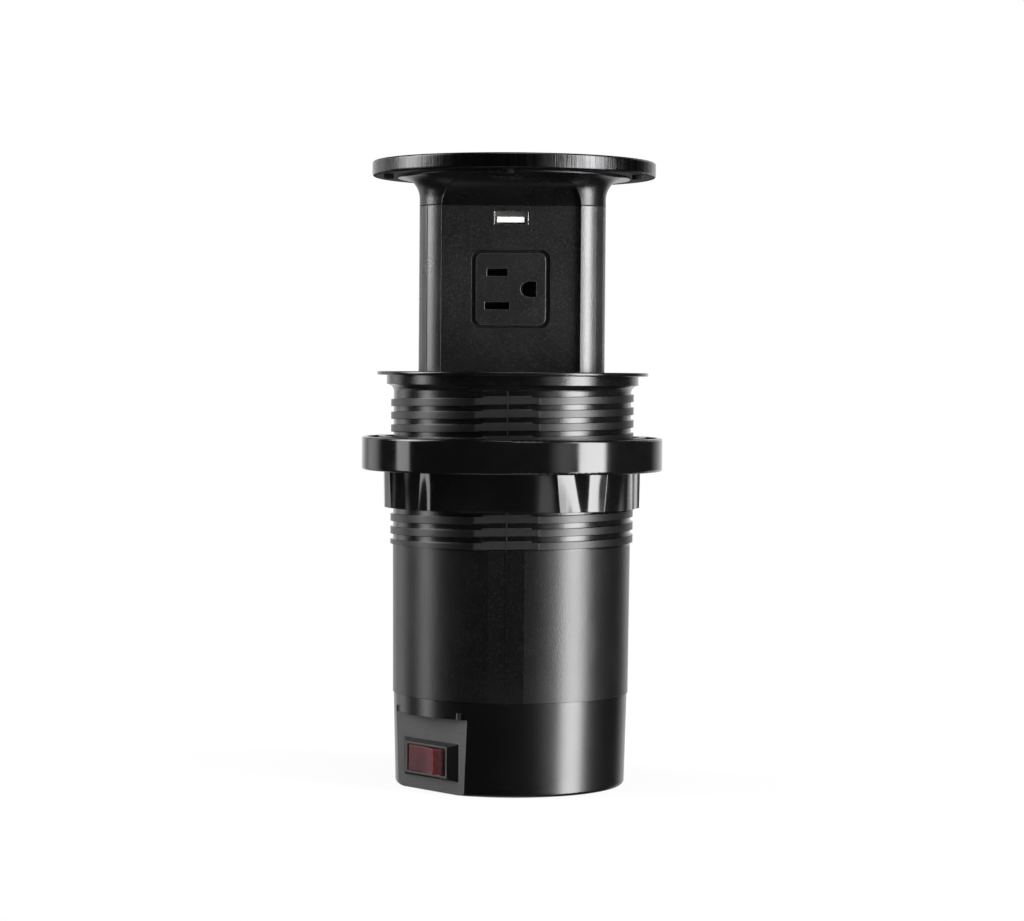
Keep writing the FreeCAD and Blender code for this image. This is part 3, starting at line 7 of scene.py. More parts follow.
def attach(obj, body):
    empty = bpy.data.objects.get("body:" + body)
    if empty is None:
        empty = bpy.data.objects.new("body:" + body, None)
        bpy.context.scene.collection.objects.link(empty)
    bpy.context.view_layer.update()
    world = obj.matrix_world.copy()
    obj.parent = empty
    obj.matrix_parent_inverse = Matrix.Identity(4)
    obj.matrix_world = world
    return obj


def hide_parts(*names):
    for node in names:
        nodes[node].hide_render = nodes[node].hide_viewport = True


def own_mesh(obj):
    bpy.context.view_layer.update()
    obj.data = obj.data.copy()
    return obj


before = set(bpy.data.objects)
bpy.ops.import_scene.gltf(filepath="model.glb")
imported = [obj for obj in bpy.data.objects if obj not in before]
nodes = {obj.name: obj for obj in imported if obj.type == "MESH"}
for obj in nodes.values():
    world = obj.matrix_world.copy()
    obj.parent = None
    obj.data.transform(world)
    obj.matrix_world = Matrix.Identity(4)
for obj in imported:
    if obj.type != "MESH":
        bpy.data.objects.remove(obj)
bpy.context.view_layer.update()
faceNames = ("front", "right", "left")
mmPerM = 1000.0
white = (1, 1, 1, 1)
black = (0, 0, 0, 1)
dressed = set()
print("frame loaded:", len(nodes), "CAD nodes")


# Gives a socket a number or a colour, or links another node's output to it.
def feed(tree, socket, value):
    if isinstance(value, bpy.types.NodeSocket):
        tree.links.new(value, socket)
    else:
        socket.default_value = value


# One shader node with its settings. Inputs go by name, or by number as i0, i1 and so on.
def addNode(tree, kind, place, settings=None, **inputs):
    node = tree.nodes.new("ShaderNode" + kind)
    node.location = place
    for name, value in (settings or {}).items():
        setattr(node, name, value)
    for name, value in inputs.items():
        numbered = name[0] == "i" and name[1:].isdigit()
        feed(tree, node.inputs[int(name[1:]) if numbered else name.replace("_", " ")], value)
    return node


def addMath(tree, place, operation, first, second=0.0, clamp=False):
    settings = {"operation": operation, "use_clamp": clamp}
    return addNode(tree, "Math", place, settings, i0=first, i1=second).outputs[0]


# A value's range changed to a new one, and held to its ends.
def addRange(tree, place, value, low, high, newLow=0.0, newHigh=1.0, smooth=False):
    settings = {"interpolation_type": "SMOOTHSTEP" if smooth else "LINEAR", "clamp": True}
    ends = {"From_Min": low, "From_Max": high, "To_Min": newLow, "To_Max": newHigh}
    return addNode(tree, "MapRange", place, settings, Value=value, **ends).outputs[0]


# One where a value lies within a reach of a middle, else zero.
def addWithin(tree, place, value, middle, reach):
    return addNode(tree, "Math", place, {"operation": "COMPARE"}, i0=value, i1=middle, i2=reach).outputs[0]


# Two numbers, vectors or colours mixed by a mask.
def addMix(tree, place, kind, mask, first, second):
    start = {"FLOAT": 2, "VECTOR": 4, "RGBA": 6}[kind]
    node = addNode(tree, "Mix", place, {"data_type": kind})
    for index, value in ((0, mask), (start, first), (start + 1, second)):
        feed(tree, node.inputs[index], value)
    return node.outputs[{"FLOAT": 0, "VECTOR": 1, "RGBA": 2}[kind]]


def scaleVector(tree, place, vector, scale):
    return addNode(tree, "VectorMath", place, {"operation": "SCALE"}, Vector=vector, Scale=scale).outputs[0]


# How far a vector reaches along a direction.
def addReach(tree, place, vector, direction):
    node = addNode(tree, "VectorMath", place, {"operation": "DOT_PRODUCT"}, i0=vector, i1=direction)
    return node.outputs["Value"]


def addLength(tree, place, vector):
    return addNode(tree, "VectorMath", place, {"operation": "LENGTH"}, i0=vector).outputs["Value"]


def splitVector(tree, place, vector):
    return addNode(tree, "SeparateXYZ", place, Vector=vector).outputs


def joinVector(tree, place, x, y, z=0.0):
    return addNode(tree, "CombineXYZ", place, X=x, Y=y, Z=z).outputs[0]


# The surface's normal in the piece's own axes, so that it stays with the piece at every pose.
def ownNormal(tree, place, kind="Normal"):
    facing = addNode(tree, "NewGeometry", (place[0] - 200, place[1])).outputs[kind]
    settings = {"vector_type": "NORMAL", "convert_from": "WORLD", "convert_to": "OBJECT"}
    return addNode(tree, "VectorTransform", place, settings, Vector=facing).outputs[0]


# A colour at a share of its strength, as the four numbers that a socket takes.
def shaded(colour, share):
    return tuple(min(1.0, c * share) for c in colour[:3]) + (1,)


def newGroup(name, inputs, outputs):
    group = bpy.data.node_groups.new(name, "ShaderNodeTree")
    for label, kind, default in inputs:
        socket = group.interface.new_socket(name=label, in_out="INPUT", socket_type="NodeSocket" + kind)
        if default is not None:
            socket.default_value = default
    for label, kind in outputs:
        group.interface.new_socket(name=label, in_out="OUTPUT", socket_type="NodeSocket" + kind)
    start = group.nodes.new("NodeGroupInput")
    start.location = (-1100, 0)
    end = group.nodes.new("NodeGroupOutput")
    end.location = (700, 0)
    return group, start.outputs, end.inputs


def useGroup(tree, group, place, **inputs):
    return addNode(tree, "Group", place, {"node_tree": group}, **inputs).outputs


# Moulded grain: the tool's spark-eroded texture, with a mask of single grains for painted glints in the
# colour.
grainShape = {"cellScale": 0.8, "pitEnds": (0.1, 0.75), "pitShare": 0.35, "toneEnds": (0.3, 0.7)}
grainGroup, gIn, gOut = newGroup(
    "mouldedGrain",
    [("Vector", "Vector", None), ("Grains per mm", "Float", 2.5), ("Glint share", "Float", 0.1)],
    [("Height", "Float"), ("Tone", "Float"), ("Glint", "Float")],
)
gPerM = addMath(grainGroup, (-900, -200), "MULTIPLY", gIn["Grains per mm"], mmPerM)
gPlace = scaleVector(grainGroup, (-700, 0), gIn["Vector"], gPerM)
gFine = addNode(grainGroup, "TexNoise", (-450, 200), Vector=gPlace, Scale=1.0, Detail=2.0, Roughness=0.6)
gCells = addNode(
    grainGroup, "TexVoronoi", (-450, -150), {"feature": "F1"},
    Vector=gPlace, Scale=grainShape["cellScale"], Randomness=1.0,
)
gFromMiddle = gCells.outputs["Distance"]
gPit = addRange(grainGroup, (-200, -150), gFromMiddle, *grainShape["pitEnds"], 1.0, 0.0, smooth=True)
gPitHeight = addMath(grainGroup, (-50, -50), "MULTIPLY", gPit, grainShape["pitShare"])
gPick = addNode(grainGroup, "SeparateColor", (-200, -400), Color=gCells.outputs["Color"]).outputs[0]
gLimit = addMath(grainGroup, (-200, -550), "SUBTRACT", 1.0, gIn["Glint share"])
gLucky = addMath(grainGroup, (50, -400), "GREATER_THAN", gPick, gLimit)
feed(grainGroup, gOut["Height"], addMath(grainGroup, (50, 100), "ADD", gFine.outputs[0], gPitHeight))
feed(grainGroup, gOut["Tone"], addRange(grainGroup, (300, 0), gFine.outputs[0], *grainShape["toneEnds"]))
feed(grainGroup, gOut["Glint"], addMath(grainGroup, (300, -300), "MULTIPLY", gLucky, gPit))

# Handling marks: slow cloudy patches with finer wiped streaks, for roughness and a little colour.
marksShape = {
    "cloudEnds": (0.35, 0.68), "streakEnds": (0.5, 0.75),
    "stretch": (9.0, 1.2, 14.0), "turn": (0.5, 0.9, 0.2),
}
marksGroup, mIn, mOut = newGroup(
    "handlingMarks",
    [("Vector", "Vector", None), ("Patches per m", "Float", 45.0), ("Streaks", "Float", 0.4)],
    [("Cloud", "Float"), ("Marks", "Float")],
)
mPlace = scaleVector(marksGroup, (-700, 0), mIn["Vector"], mIn["Patches per m"])
mPatches = addNode(
    marksGroup, "TexNoise", (-450, 200), Vector=mPlace, Scale=1.0, Detail=4.0, Roughness=0.6, Distortion=0.4,
)
mLong = addNode(
    marksGroup, "Mapping", (-450, -150),
    Vector=mPlace, Scale=marksShape["stretch"], Rotation=marksShape["turn"],
)
mWiped = addNode(marksGroup, "TexNoise", (-200, -150), Vector=mLong.outputs[0], Scale=1.0, Detail=2.0)
mCloud = addRange(marksGroup, (0, 200), mPatches.outputs[0], *marksShape["cloudEnds"], smooth=True)
mStreak = addRange(marksGroup, (0, -150), mWiped.outputs[0], *marksShape["streakEnds"], smooth=True)
mStreak = addMath(marksGroup, (250, -100), "MULTIPLY", mStreak, mIn["Streaks"])
feed(marksGroup, mOut["Cloud"], mCloud)
feed(marksGroup, mOut["Marks"], addMath(marksGroup, (450, 0), "ADD", mCloud, mStreak, clamp=True))

# Soft edge: the small rounding every moulded edge has, and a mask of it for wear and for painted edge
# highlights.
edgeGroup, eIn, eOut = newGroup(
    "softEdge",
    [("Radius", "Float", 0.0003), ("Reach", "Float", 0.25)],
    [("Normal", "Vector"), ("Edge", "Float")],
)
eBevel = addNode(edgeGroup, "Bevel", (-600, 0), {"samples": 4}, Radius=eIn["Radius"]).outputs[0]
eFace = addNode(edgeGroup, "NewGeometry", (-600, -250)).outputs["Normal"]
eLevel = addReach(edgeGroup, (-350, -100), eBevel, eFace)
eTurn = addMath(edgeGroup, (-150, -100), "SUBTRACT", 1.0, eLevel, clamp=True)
feed(edgeGroup, eOut["Normal"], eBevel)
feed(edgeGroup, eOut["Edge"], addMath(edgeGroup, (50, -100), "DIVIDE", eTurn, eIn["Reach"], clamp=True))

# Brushed metal: long fine scratches along one way of the given vector.
brushShape = {"stretch": (1.0, 0.02, 0.02), "wideScale": 0.16, "wideShare": 0.4, "toneEnds": (0.35, 0.65)}
brushGroup, bIn, bOut = newGroup(
    "brushedLines",
    [("Vector", "Vector", None), ("Lines per mm", "Float", 6.0)],
    [("Height", "Float"), ("Tone", "Float")],
)
bPerM = addMath(brushGroup, (-900, -200), "MULTIPLY", bIn["Lines per mm"], mmPerM)
bPlace = scaleVector(brushGroup, (-700, 0), bIn["Vector"], bPerM)
bFlat = addNode(brushGroup, "Mapping", (-500, 0), Vector=bPlace, Scale=brushShape["stretch"]).outputs[0]
bFine = addNode(brushGroup, "TexNoise", (-250, 150), Vector=bFlat, Scale=1.0, Detail=2.0, Roughness=0.7)
bWide = addNode(brushGroup, "TexNoise", (-250, -150), Vector=bFlat, Scale=brushShape["wideScale"], Detail=2.0)
bBoth = addMix(brushGroup, (0, 0), "FLOAT", brushShape["wideShare"], bFine.outputs[0], bWide.outputs[0])
feed(brushGroup, bOut["Height"], bFine.outputs[0])
feed(brushGroup, bOut["Tone"], addRange(brushGroup, (300, -100), bBoth, *brushShape["toneEnds"]))
print("shared node groups made")


# The empty node tree of a material, a lamp or the world.
def emptyTree(owner):
    owner.use_nodes = True
    owner.node_tree.nodes.clear()
    return owner.node_tree


def newMaterial(name):
    material = bpy.data.materials.new(name)
    tree = emptyTree(material)
    shader = addNode(tree, "BsdfPrincipled", (500, 0))
    addNode(tree, "OutputMaterial", (800, 0), Surface=shader.outputs[0])
    coords = addNode(tree, "TexCoord", (-1500, 0)).outputs["Object"]
    return {"material": material, "tree": tree, "shader": shader, "coords": coords}


def feedShader(made, **inputs):
    for name, value in inputs.items():
        feed(made["tree"], made["shader"].inputs[name.replace("_", " ")], value)


def dress(made, *names):
    for name in names:
        slots = nodes[name].data.materials
        slots.clear()
        slots.append(made["material"])
    dressed.update(names)


# Moulded plastic: colour with cloudy tone and painted glints on single grains, grain in the bump, and paler
# edges for wear and for painted edge highlights.
# It returns what a caller needs to mix zones in.
def mouldedPlastic(name, look):
    made = newMaterial(name)
    tree, coords = made["tree"], made["coords"]
    grain = useGroup(
        tree, grainGroup, (-1200, 200),
        Vector=coords, Grains_per_mm=look["grainsPerMm"], Glint_share=look["glintShare"],
    )
    marks = useGroup(
        tree, marksGroup, (-1200, -100),
        Vector=coords, Patches_per_m=look["patchesPerM"], Streaks=look["streaks"],
    )
    edge = useGroup(tree, edgeGroup, (-1200, -400), Radius=look["edgeRadius"])
    dark = shaded(look["colour"], 1 - look["toneSpread"])
    pale = shaded(look["colour"], 1 + look["toneSpread"])
    edgeWearAndSheen = shaded(look["colour"], look["edgeTone"])
    glint = shaded(look["colour"], look["glintTone"])
    colour = addMix(tree, (-1000, 300), "RGBA", marks["Cloud"], dark, pale)
    speckEnds = (1 - look["grainTone"], 1 + look["grainTone"])
    speck = addRange(tree, (-1000, 500), grain["Tone"], 0.0, 1.0, *speckEnds)
    colour = scaleVector(tree, (-800, 400), colour, speck)
    # painted glints: single grains take a brighter copy of the colour
    colour = addMix(tree, (-600, 300), "RGBA", grain["Glint"], colour, glint)
    bump = addNode(
        tree, "Bump", (-200, -400), Strength=look["grainStrength"], Distance=look["grainDepth"],
        Height=grain["Height"], Normal=edge["Normal"],
    )
    # paler edges: wear, and painted edge highlights where the edge tone is high
    made["colour"] = addMix(tree, (-400, 300), "RGBA", edge["Edge"], colour, edgeWearAndSheen)
    made["roughness"] = addRange(tree, (-600, -100), marks["Marks"], 0.0, 1.0, *look["roughness"])
    made["bump"] = bump.outputs[0]
    made["grainTone"] = grain["Tone"]
    feedShader(made, Base_Color=made["colour"], Roughness=made["roughness"], Normal=made["bump"])
    feedShader(made, IOR=look["ior"])
    return made


plasticBase = {
    "colour": (0.006, 0.006, 0.0063), "toneSpread": 0.12, "roughness": (0.36, 0.41), "ior": 1.5,
    "grainsPerMm": 3.0, "grainStrength": 0.35, "grainDepth": 0.00004, "grainTone": 0.15,
    "glintShare": 0.05, "glintTone": 2.2,
    "patchesPerM": 40.0, "streaks": 0.3, "edgeRadius": 0.00025, "edgeTone": 1.7,
}

# Barrel: satin grained body, a smoother neck, thread crests left rough from the tool and glossier valleys.
barrelLook = dict(
    plasticBase, colour=(0.0024, 0.0024, 0.0026), roughness=(0.29, 0.32),
    grainsPerMm=2.1, grainStrength=0.8, grainTone=0.5, glintShare=0.12, glintTone=4.0,
    threadFoot=0.0932, footBlend=0.0004, neckFoot=0.1535, neckBlend=0.001, neckRoughness=0.16,
    crestRadius=0.0468, crestBlend=0.00025, crestColour=(0.0022, 0.0022, 0.0024, 1), crestRoughness=0.34,
    valleyRoughness=0.17, pitch=0.00494, crestShare=0.62,
    flatPlane=0.0457, flatReach=0.00045, flatHalf=0.0125,
    bandColour=(0.014, 0.014, 0.0145), bandTones=(0.6, 1.5), lineHalf=0.0003, plainHalf=0.0005,
)
look = barrelLook
barrel = mouldedPlastic("barrelPlastic", look)
tree = barrel["tree"]
x, y, z = splitVector(tree, (-1200, 700), barrel["coords"])
radius = addLength(tree, (-800, 700), joinVector(tree, (-1000, 700), x, y))
crest = addRange(tree, (-600, 800), radius, look["crestRadius"], look["crestRadius"] + look["crestBlend"])
neckStart = look["neckFoot"] - look["neckBlend"]
belowNeck = addRange(tree, (-600, 1000), z, look["neckFoot"], neckStart)
footEnds = (look["threadFoot"] - look["footBlend"], look["threadFoot"] + look["footBlend"])
onThread = addMath(tree, (-400, 1000), "MULTIPLY", belowNeck, addRange(tree, (-600, 1200), z, *footEnds))
crestMask = addMath(tree, (-200, 900), "MULTIPLY", crest, onThread)
# where the parting flats cut the thread, its turns go on as rough bands, coloured paler as painted sheen of
# lit thread turns, and the parting line is painted in the same way
depth = addMath(tree, (-1000, 1500), "ABSOLUTE", y)
beside = addMath(tree, (-1000, 1700), "ABSOLUTE", x)
onFlat = addWithin(tree, (-800, 1600), depth, look["flatPlane"], look["flatReach"])
nearMiddle = addMath(tree, (-800, 1750), "LESS_THAN", beside, look["flatHalf"])
turns = addMath(tree, (-1000, 1300), "DIVIDE", addMath(tree, (-1100, 1300), "ARCTAN2", y, x), math.tau)
rise = addMath(tree, (-1000, 1200), "DIVIDE", z, look["pitch"])
phase = addMath(tree, (-600, 1350), "FRACT", addMath(tree, (-800, 1300), "SUBTRACT", rise, turns))
band = addWithin(tree, (-400, 1350), phase, 0.5, look["crestShare"] / 2)
line = addMath(tree, (-400, 1700), "LESS_THAN", beside, look["lineHalf"])
band = addMath(tree, (-200, 1350), "MAXIMUM", band, line)
bandArea = addMath(tree, (-400, 1600), "MULTIPLY", onFlat, nearMiddle)
bandArea = addMath(tree, (-200, 1600), "MULTIPLY", bandArea, onThread)
bandMask = addMath(tree, (0, 1500), "MULTIPLY", bandArea, band)
bandTones = [shaded(look["bandColour"], share) for share in look["bandTones"]]
bandColour = addMix(tree, (0, 650), "RGBA", barrel["grainTone"], *bandTones)
colour = addMix(tree, (0, 500), "RGBA", crestMask, barrel["colour"], look["crestColour"])
# painted sheen: the bands and the parting line take a far paler colour than the body
colour = addMix(tree, (200, 500), "RGBA", bandMask, colour, bandColour)
rough = addMath(tree, (100, 900), "MAXIMUM", crestMask, bandMask)
onNeck = addRange(tree, (-400, 1200), z, neckStart, look["neckFoot"])
roughness = addMix(tree, (0, 800), "FLOAT", onThread, barrel["roughness"], look["valleyRoughness"])
roughness = addMix(tree, (200, 800), "FLOAT", rough, roughness, look["crestRoughness"])
roughness = addMix(tree, (400, 800), "FLOAT", onNeck, roughness, look["neckRoughness"])
# the raised parting line keeps its flat faces
onLine = addMath(tree, (-400, 1850), "LESS_THAN", beside, look["plainHalf"])
plain = addNode(tree, "NewGeometry", (0, -600)).outputs["True Normal"]
normal = addMix(tree, (200, -500), "VECTOR", onLine, barrel["bump"], plain)
feedShader(barrel, Base_Color=colour, Roughness=roughness, Normal=normal)
dress(barrel, "housing_tube")

# Base cap: darker and glossier than the barrel, with a matte flat round the switch.
# Plane, across, height and out are each a middle and a reach to both sides of it.
capLook = dict(
    plasticBase, colour=(0.0014, 0.0014, 0.0016), roughness=(0.245, 0.265), streaks=0.0,
    grainsPerMm=2.0, grainStrength=0.4, glintShare=0.04,
    flatAzimuth=-46.0, flatPlane=(0.0402, 0.0002), flatFacing=(0.95, 0.99),
    flatColour=(0.034, 0.034, 0.0355), flatTones=(0.6, 1.4), flatRoughness=0.6,
    cornerAcross=(0.0184, 0.0009), cornerHeight=(0.0301, 0.0014), cornerOut=(0.042, 0.0008),
    cornerRoughness=1.0,
)
look = capLook
cap = mouldedPlastic("capPlastic", look)
tree = cap["tree"]
turn = math.radians(look["flatAzimuth"])
outward = (math.sin(turn), -math.cos(turn), 0.0)
sideways = (math.cos(turn), math.sin(turn), 0.0)
away = addReach(tree, (-1000, 700), cap["coords"], outward)
facing = addReach(tree, (-800, 900), ownNormal(tree, (-1000, 900), "True Normal"), outward)
square = addRange(tree, (-600, 900), facing, *look["flatFacing"])
onPlane = addWithin(tree, (-700, 700), away, *look["flatPlane"])
flatMask = addMath(tree, (-400, 800), "MULTIPLY", onPlane, square)
flatTones = [shaded(look["flatColour"], share) for share in look["flatTones"]]
flatColour = addMix(tree, (-200, 900), "RGBA", cap["grainTone"], *flatTones)
colour = addMix(tree, (0, 500), "RGBA", flatMask, cap["colour"], flatColour)
roughness = addMix(tree, (0, 800), "FLOAT", flatMask, cap["roughness"], look["flatRoughness"])
# painted shade: two small blocks above the flat's upper corners are coloured black and made rough, as dark as
# the shade beside them
height = splitVector(tree, (-1200, 1200), cap["coords"])[2]
across = addMath(tree, (-800, 1200), "ABSOLUTE", addReach(tree, (-1000, 1200), cap["coords"], sideways))
shadeBlocks = addMath(
    tree, (-400, 1400), "MULTIPLY",
    addWithin(tree, (-600, 1200), across, *look["cornerAcross"]),
    addWithin(tree, (-600, 1400), height, *look["cornerHeight"]),
)
standsOut = addWithin(tree, (-600, 1600), away, *look["cornerOut"])
shadeBlocks = addMath(tree, (-200, 1400), "MULTIPLY", shadeBlocks, standsOut)
colour = addMix(tree, (200, 500), "RGBA", shadeBlocks, colour, black)
roughness = addMix(tree, (200, 800), "FLOAT", shadeBlocks, roughness, look["cornerRoughness"])
feedShader(cap, Base_Color=colour, Roughness=roughness)
dress(cap, "base_cap")

# Clamp nut: polished black with faint wipe marks; the collar is slightly wavy where it sank in the mould.
nutLook = dict(
    plasticBase, colour=(0.0022, 0.0022, 0.0023), roughness=(0.08, 0.12), grainsPerMm=0.4, grainStrength=0.05,
    glintShare=0.0, streaks=0.8, patchesPerM=60.0, edgeRadius=0.0005, edgeTone=1.5,
    sinkPerM=90.0, sinkDepth=0.0038, sinkStretch=0.3, collarRadius=0.0555,
)
look = nutLook
nut = mouldedPlastic("nutPlastic", look)
tree = nut["tree"]
x, y, z = splitVector(tree, (-1200, -800), nut["coords"])
sinkHeight = addMath(tree, (-1100, -1050), "MULTIPLY", z, look["sinkStretch"])
sinkPlace = joinVector(tree, (-1000, -1000), x, y, sinkHeight)
sinks = addNode(tree, "TexNoise", (-800, -1000), Vector=sinkPlace, Scale=look["sinkPerM"], Detail=0.0)
radius = addLength(tree, (-800, -1200), joinVector(tree, (-1000, -1200), x, y))
onCollar = addMath(tree, (-600, -1200), "LESS_THAN", radius, look["collarRadius"])
wavy = addNode(
    tree, "Bump", (-400, -800), Strength=onCollar, Distance=look["sinkDepth"],
    Height=sinks.outputs[0], Normal=nut["bump"],
)
feedShader(nut, Normal=wavy.outputs[0])
dress(nut, "clamp_nut")

slipLook = dict(plasticBase, colour=(0.004, 0.004, 0.004), roughness=(0.2, 0.3), grainStrength=0.1)
dress(mouldedPlastic("slipPlastic", slipLook), "slip_ring", "guide_ring")

# Tower: dry, finely grained charcoal panels; posts and head from smoother tools; a fine groove where the head
# sits on.
towerLook = dict(
    plasticBase, colour=(0.0062, 0.0062, 0.0065), toneSpread=0.15, roughness=(0.38, 0.44),
    grainsPerMm=2.6, grainStrength=0.9, grainDepth=0.00006, grainTone=0.75, glintShare=0.22, glintTone=4.0,
    edgeTone=1.9,
    seamHeight=0.2234, seamHalf=0.00022, seamDepth=0.0003, seamShadeColour=(0.001, 0.001, 0.001, 1),
)


# Moulded plastic with a fine groove at one height, whose middle is painted near black as the shade in the
# gap.
def seamedPlastic(name, look):
    made = mouldedPlastic(name, look)
    tree = made["tree"]
    height = splitVector(tree, (-1200, -800), made["coords"])[2]
    above = addMath(tree, (-1000, -800), "SUBTRACT", height, look["seamHeight"])
    off = addMath(tree, (-900, -800), "ABSOLUTE", above)
    ground = addRange(tree, (-700, -800), off, 0.0, look["seamHalf"], smooth=True)
    cut = addNode(
        tree, "Bump", (-400, -700), Strength=1.0, Distance=look["seamDepth"],
        Height=ground, Normal=made["bump"],
    )
    # painted shade: the groove is coloured near black
    inSeam = addMath(tree, (-500, -800), "SUBTRACT", 1.0, ground)
    colour = addMix(tree, (-200, 500), "RGBA", inSeam, made["colour"], look["seamShadeColour"])
    feedShader(made, Base_Color=colour, Normal=cut.outputs[0])
    return made


dress(seamedPlastic("panelPlastic", towerLook), *[face + "_panel" for face in faceNames])

postLook = dict(
    towerLook, colour=(0.008, 0.008, 0.0083), ior=1.65, roughness=(0.27, 0.33),
    grainStrength=0.7, grainTone=0.4, glintShare=0.1,
)
dress(seamedPlastic("postPlastic", postLook), "corner_post_left", "corner_post_right", "corner_post_rear")

headLook = dict(
    towerLook, colour=(0.002, 0.002, 0.0022), roughness=(0.25, 0.31), grainStrength=0.6, glintShare=0.08,
)
dress(seamedPlastic("headPlastic", headLook), "tower_head")

outletLook = dict(
    towerLook, colour=(0.007, 0.007, 0.0073), grainStrength=0.5, glintShare=0.1,
    # painted highlight: the high edge tone makes the edges far paler, as the lit lip round each outlet
    edgeRadius=0.0005, edgeTone=9.0,
)
dress(mouldedPlastic("outletPlastic", outletLook), *["outlet_" + face for face in faceNames])

insideLook = dict(plasticBase, colour=(0.01, 0.01, 0.01), roughness=(0.45, 0.55), grainStrength=0.3)
dress(mouldedPlastic("insidePlastic", insideLook), "tower_base", "partition_plate")

glandLook = dict(
    plasticBase, colour=(0.012, 0.012, 0.0125), roughness=(0.32, 0.42), grainStrength=0.2,
    edgeRadius=0.0003, edgeTone=2.0,
)
dress(mouldedPlastic("glandNylon", glandLook), "cable_gland", "gland_nut")

switchLook = dict(
    plasticBase, colour=(0.0035, 0.0035, 0.0038), roughness=(0.3, 0.4), grainStrength=0.15,
    # painted highlight: the high edge tone draws the frame's edges as pale lines
    edgeRadius=0.0002, edgeTone=6.0,
)
dress(mouldedPlastic("switchPlastic", switchLook), "switch_frame")

padLook = dict(
    plasticBase, colour=(0.003, 0.003, 0.003), ior=1.3, roughness=(0.85, 0.95),
    grainsPerMm=4.0, grainStrength=0.3, edgeTone=1.2,
)
dress(mouldedPlastic("padRubber", padLook), "lid_pads")

tongueLook = dict(
    plasticBase, colour=(0.8, 0.8, 0.78), toneSpread=0.04, roughness=(0.25, 0.35), grainStrength=0.05,
    glintShare=0.0, edgeTone=1.05,
)
dress(mouldedPlastic("tonguePlastic", tongueLook), *["usb_tongue_" + face for face in faceNames])

# Rocker: deep red, a little see-through, so the colour is brighter where it is thin.
rockerLook = dict(
    plasticBase, colour=(0.05, 0.006, 0.009), ior=1.33, toneSpread=0.25, roughness=(0.42, 0.5),
    grainsPerMm=2.5, grainStrength=0.4, grainTone=0.4, glintShare=0.1, glintTone=2.5,
    # painted highlight: the high edge tone makes the rocker's edges and ends bright red
    edgeRadius=0.0005, edgeTone=9.0, seeThrough=0.15,
)
rocker = mouldedPlastic("rockerRed", rockerLook)
feedShader(rocker, Transmission_Weight=rockerLook["seeThrough"])
dress(rocker, "rocker")

leadLook = dict(
    plasticBase, colour=(0.012, 0.012, 0.012), roughness=(0.55, 0.7), grainsPerMm=2.0, grainStrength=0.2,
)
leadRubber = mouldedPlastic("leadRubber", leadLook)
dress(leadRubber, "lift_lead")
print("plastics dressed")

# Coiled lead: stands for the CAD coil. Keep is the share of its height that is left when the tower goes down.
# Gather winds its middle closer, which leaves room for the saddles at its ends.
coilLook = {
    "radius": 0.027, "thick": 0.003, "foot": 0.0467, "head": 0.1339, "turns": 3, "gather": 0.095,
    "keep": 0.156, "ringsPerTurn": 64, "sides": 16,
}
ringCount = coilLook["turns"] * coilLook["ringsPerTurn"] + 1
coilRise = coilLook["head"] - coilLook["foot"]
sides = coilLook["sides"]
points = []
for i in range(ringCount):
    turn = math.tau * i / coilLook["ringsPerTurn"]
    share = i / (ringCount - 1)
    height = coilLook["foot"] + coilRise * (share + coilLook["gather"] * math.sin(math.tau * share))
    steep = 1 + math.tau * coilLook["gather"] * math.cos(math.tau * share)
    slope = math.atan2(coilRise * steep, math.tau * coilLook["radius"] * coilLook["turns"])
    outward = Vector((math.cos(turn), math.sin(turn), 0))
    across = Vector((math.sin(turn) * math.sin(slope), -math.cos(turn) * math.sin(slope), math.cos(slope)))
    middle = outward * coilLook["radius"] + Vector((0, 0, height))
    for k in range(sides):
        side = math.tau * k / sides
        points.append(middle + (outward * math.cos(side) + across * math.sin(side)) * coilLook["thick"])
faces = []
for here in range(0, (ringCount - 1) * sides, sides):
    for k in range(sides):
        after = (k + 1) % sides
        faces.append((here + k, here + sides + k, here + sides + after, here + after))
lastRing = (ringCount - 1) * sides
faces += [tuple(range(sides)), tuple(lastRing + k for k in reversed(range(sides)))]
mesh = bpy.data.meshes.new("leadCoil")
mesh.from_pydata(points, [], faces)
mesh.polygons.foreach_set("use_smooth", [len(face) == 4 for face in faces])
mesh.materials.append(leadRubber["material"])
coil = bpy.data.objects.new("leadCoil", mesh)
bpy.context.scene.collection.objects.link(coil)
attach(coil, "housing")
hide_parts("lift_lead")
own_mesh(coil)
print("coiled lead made")


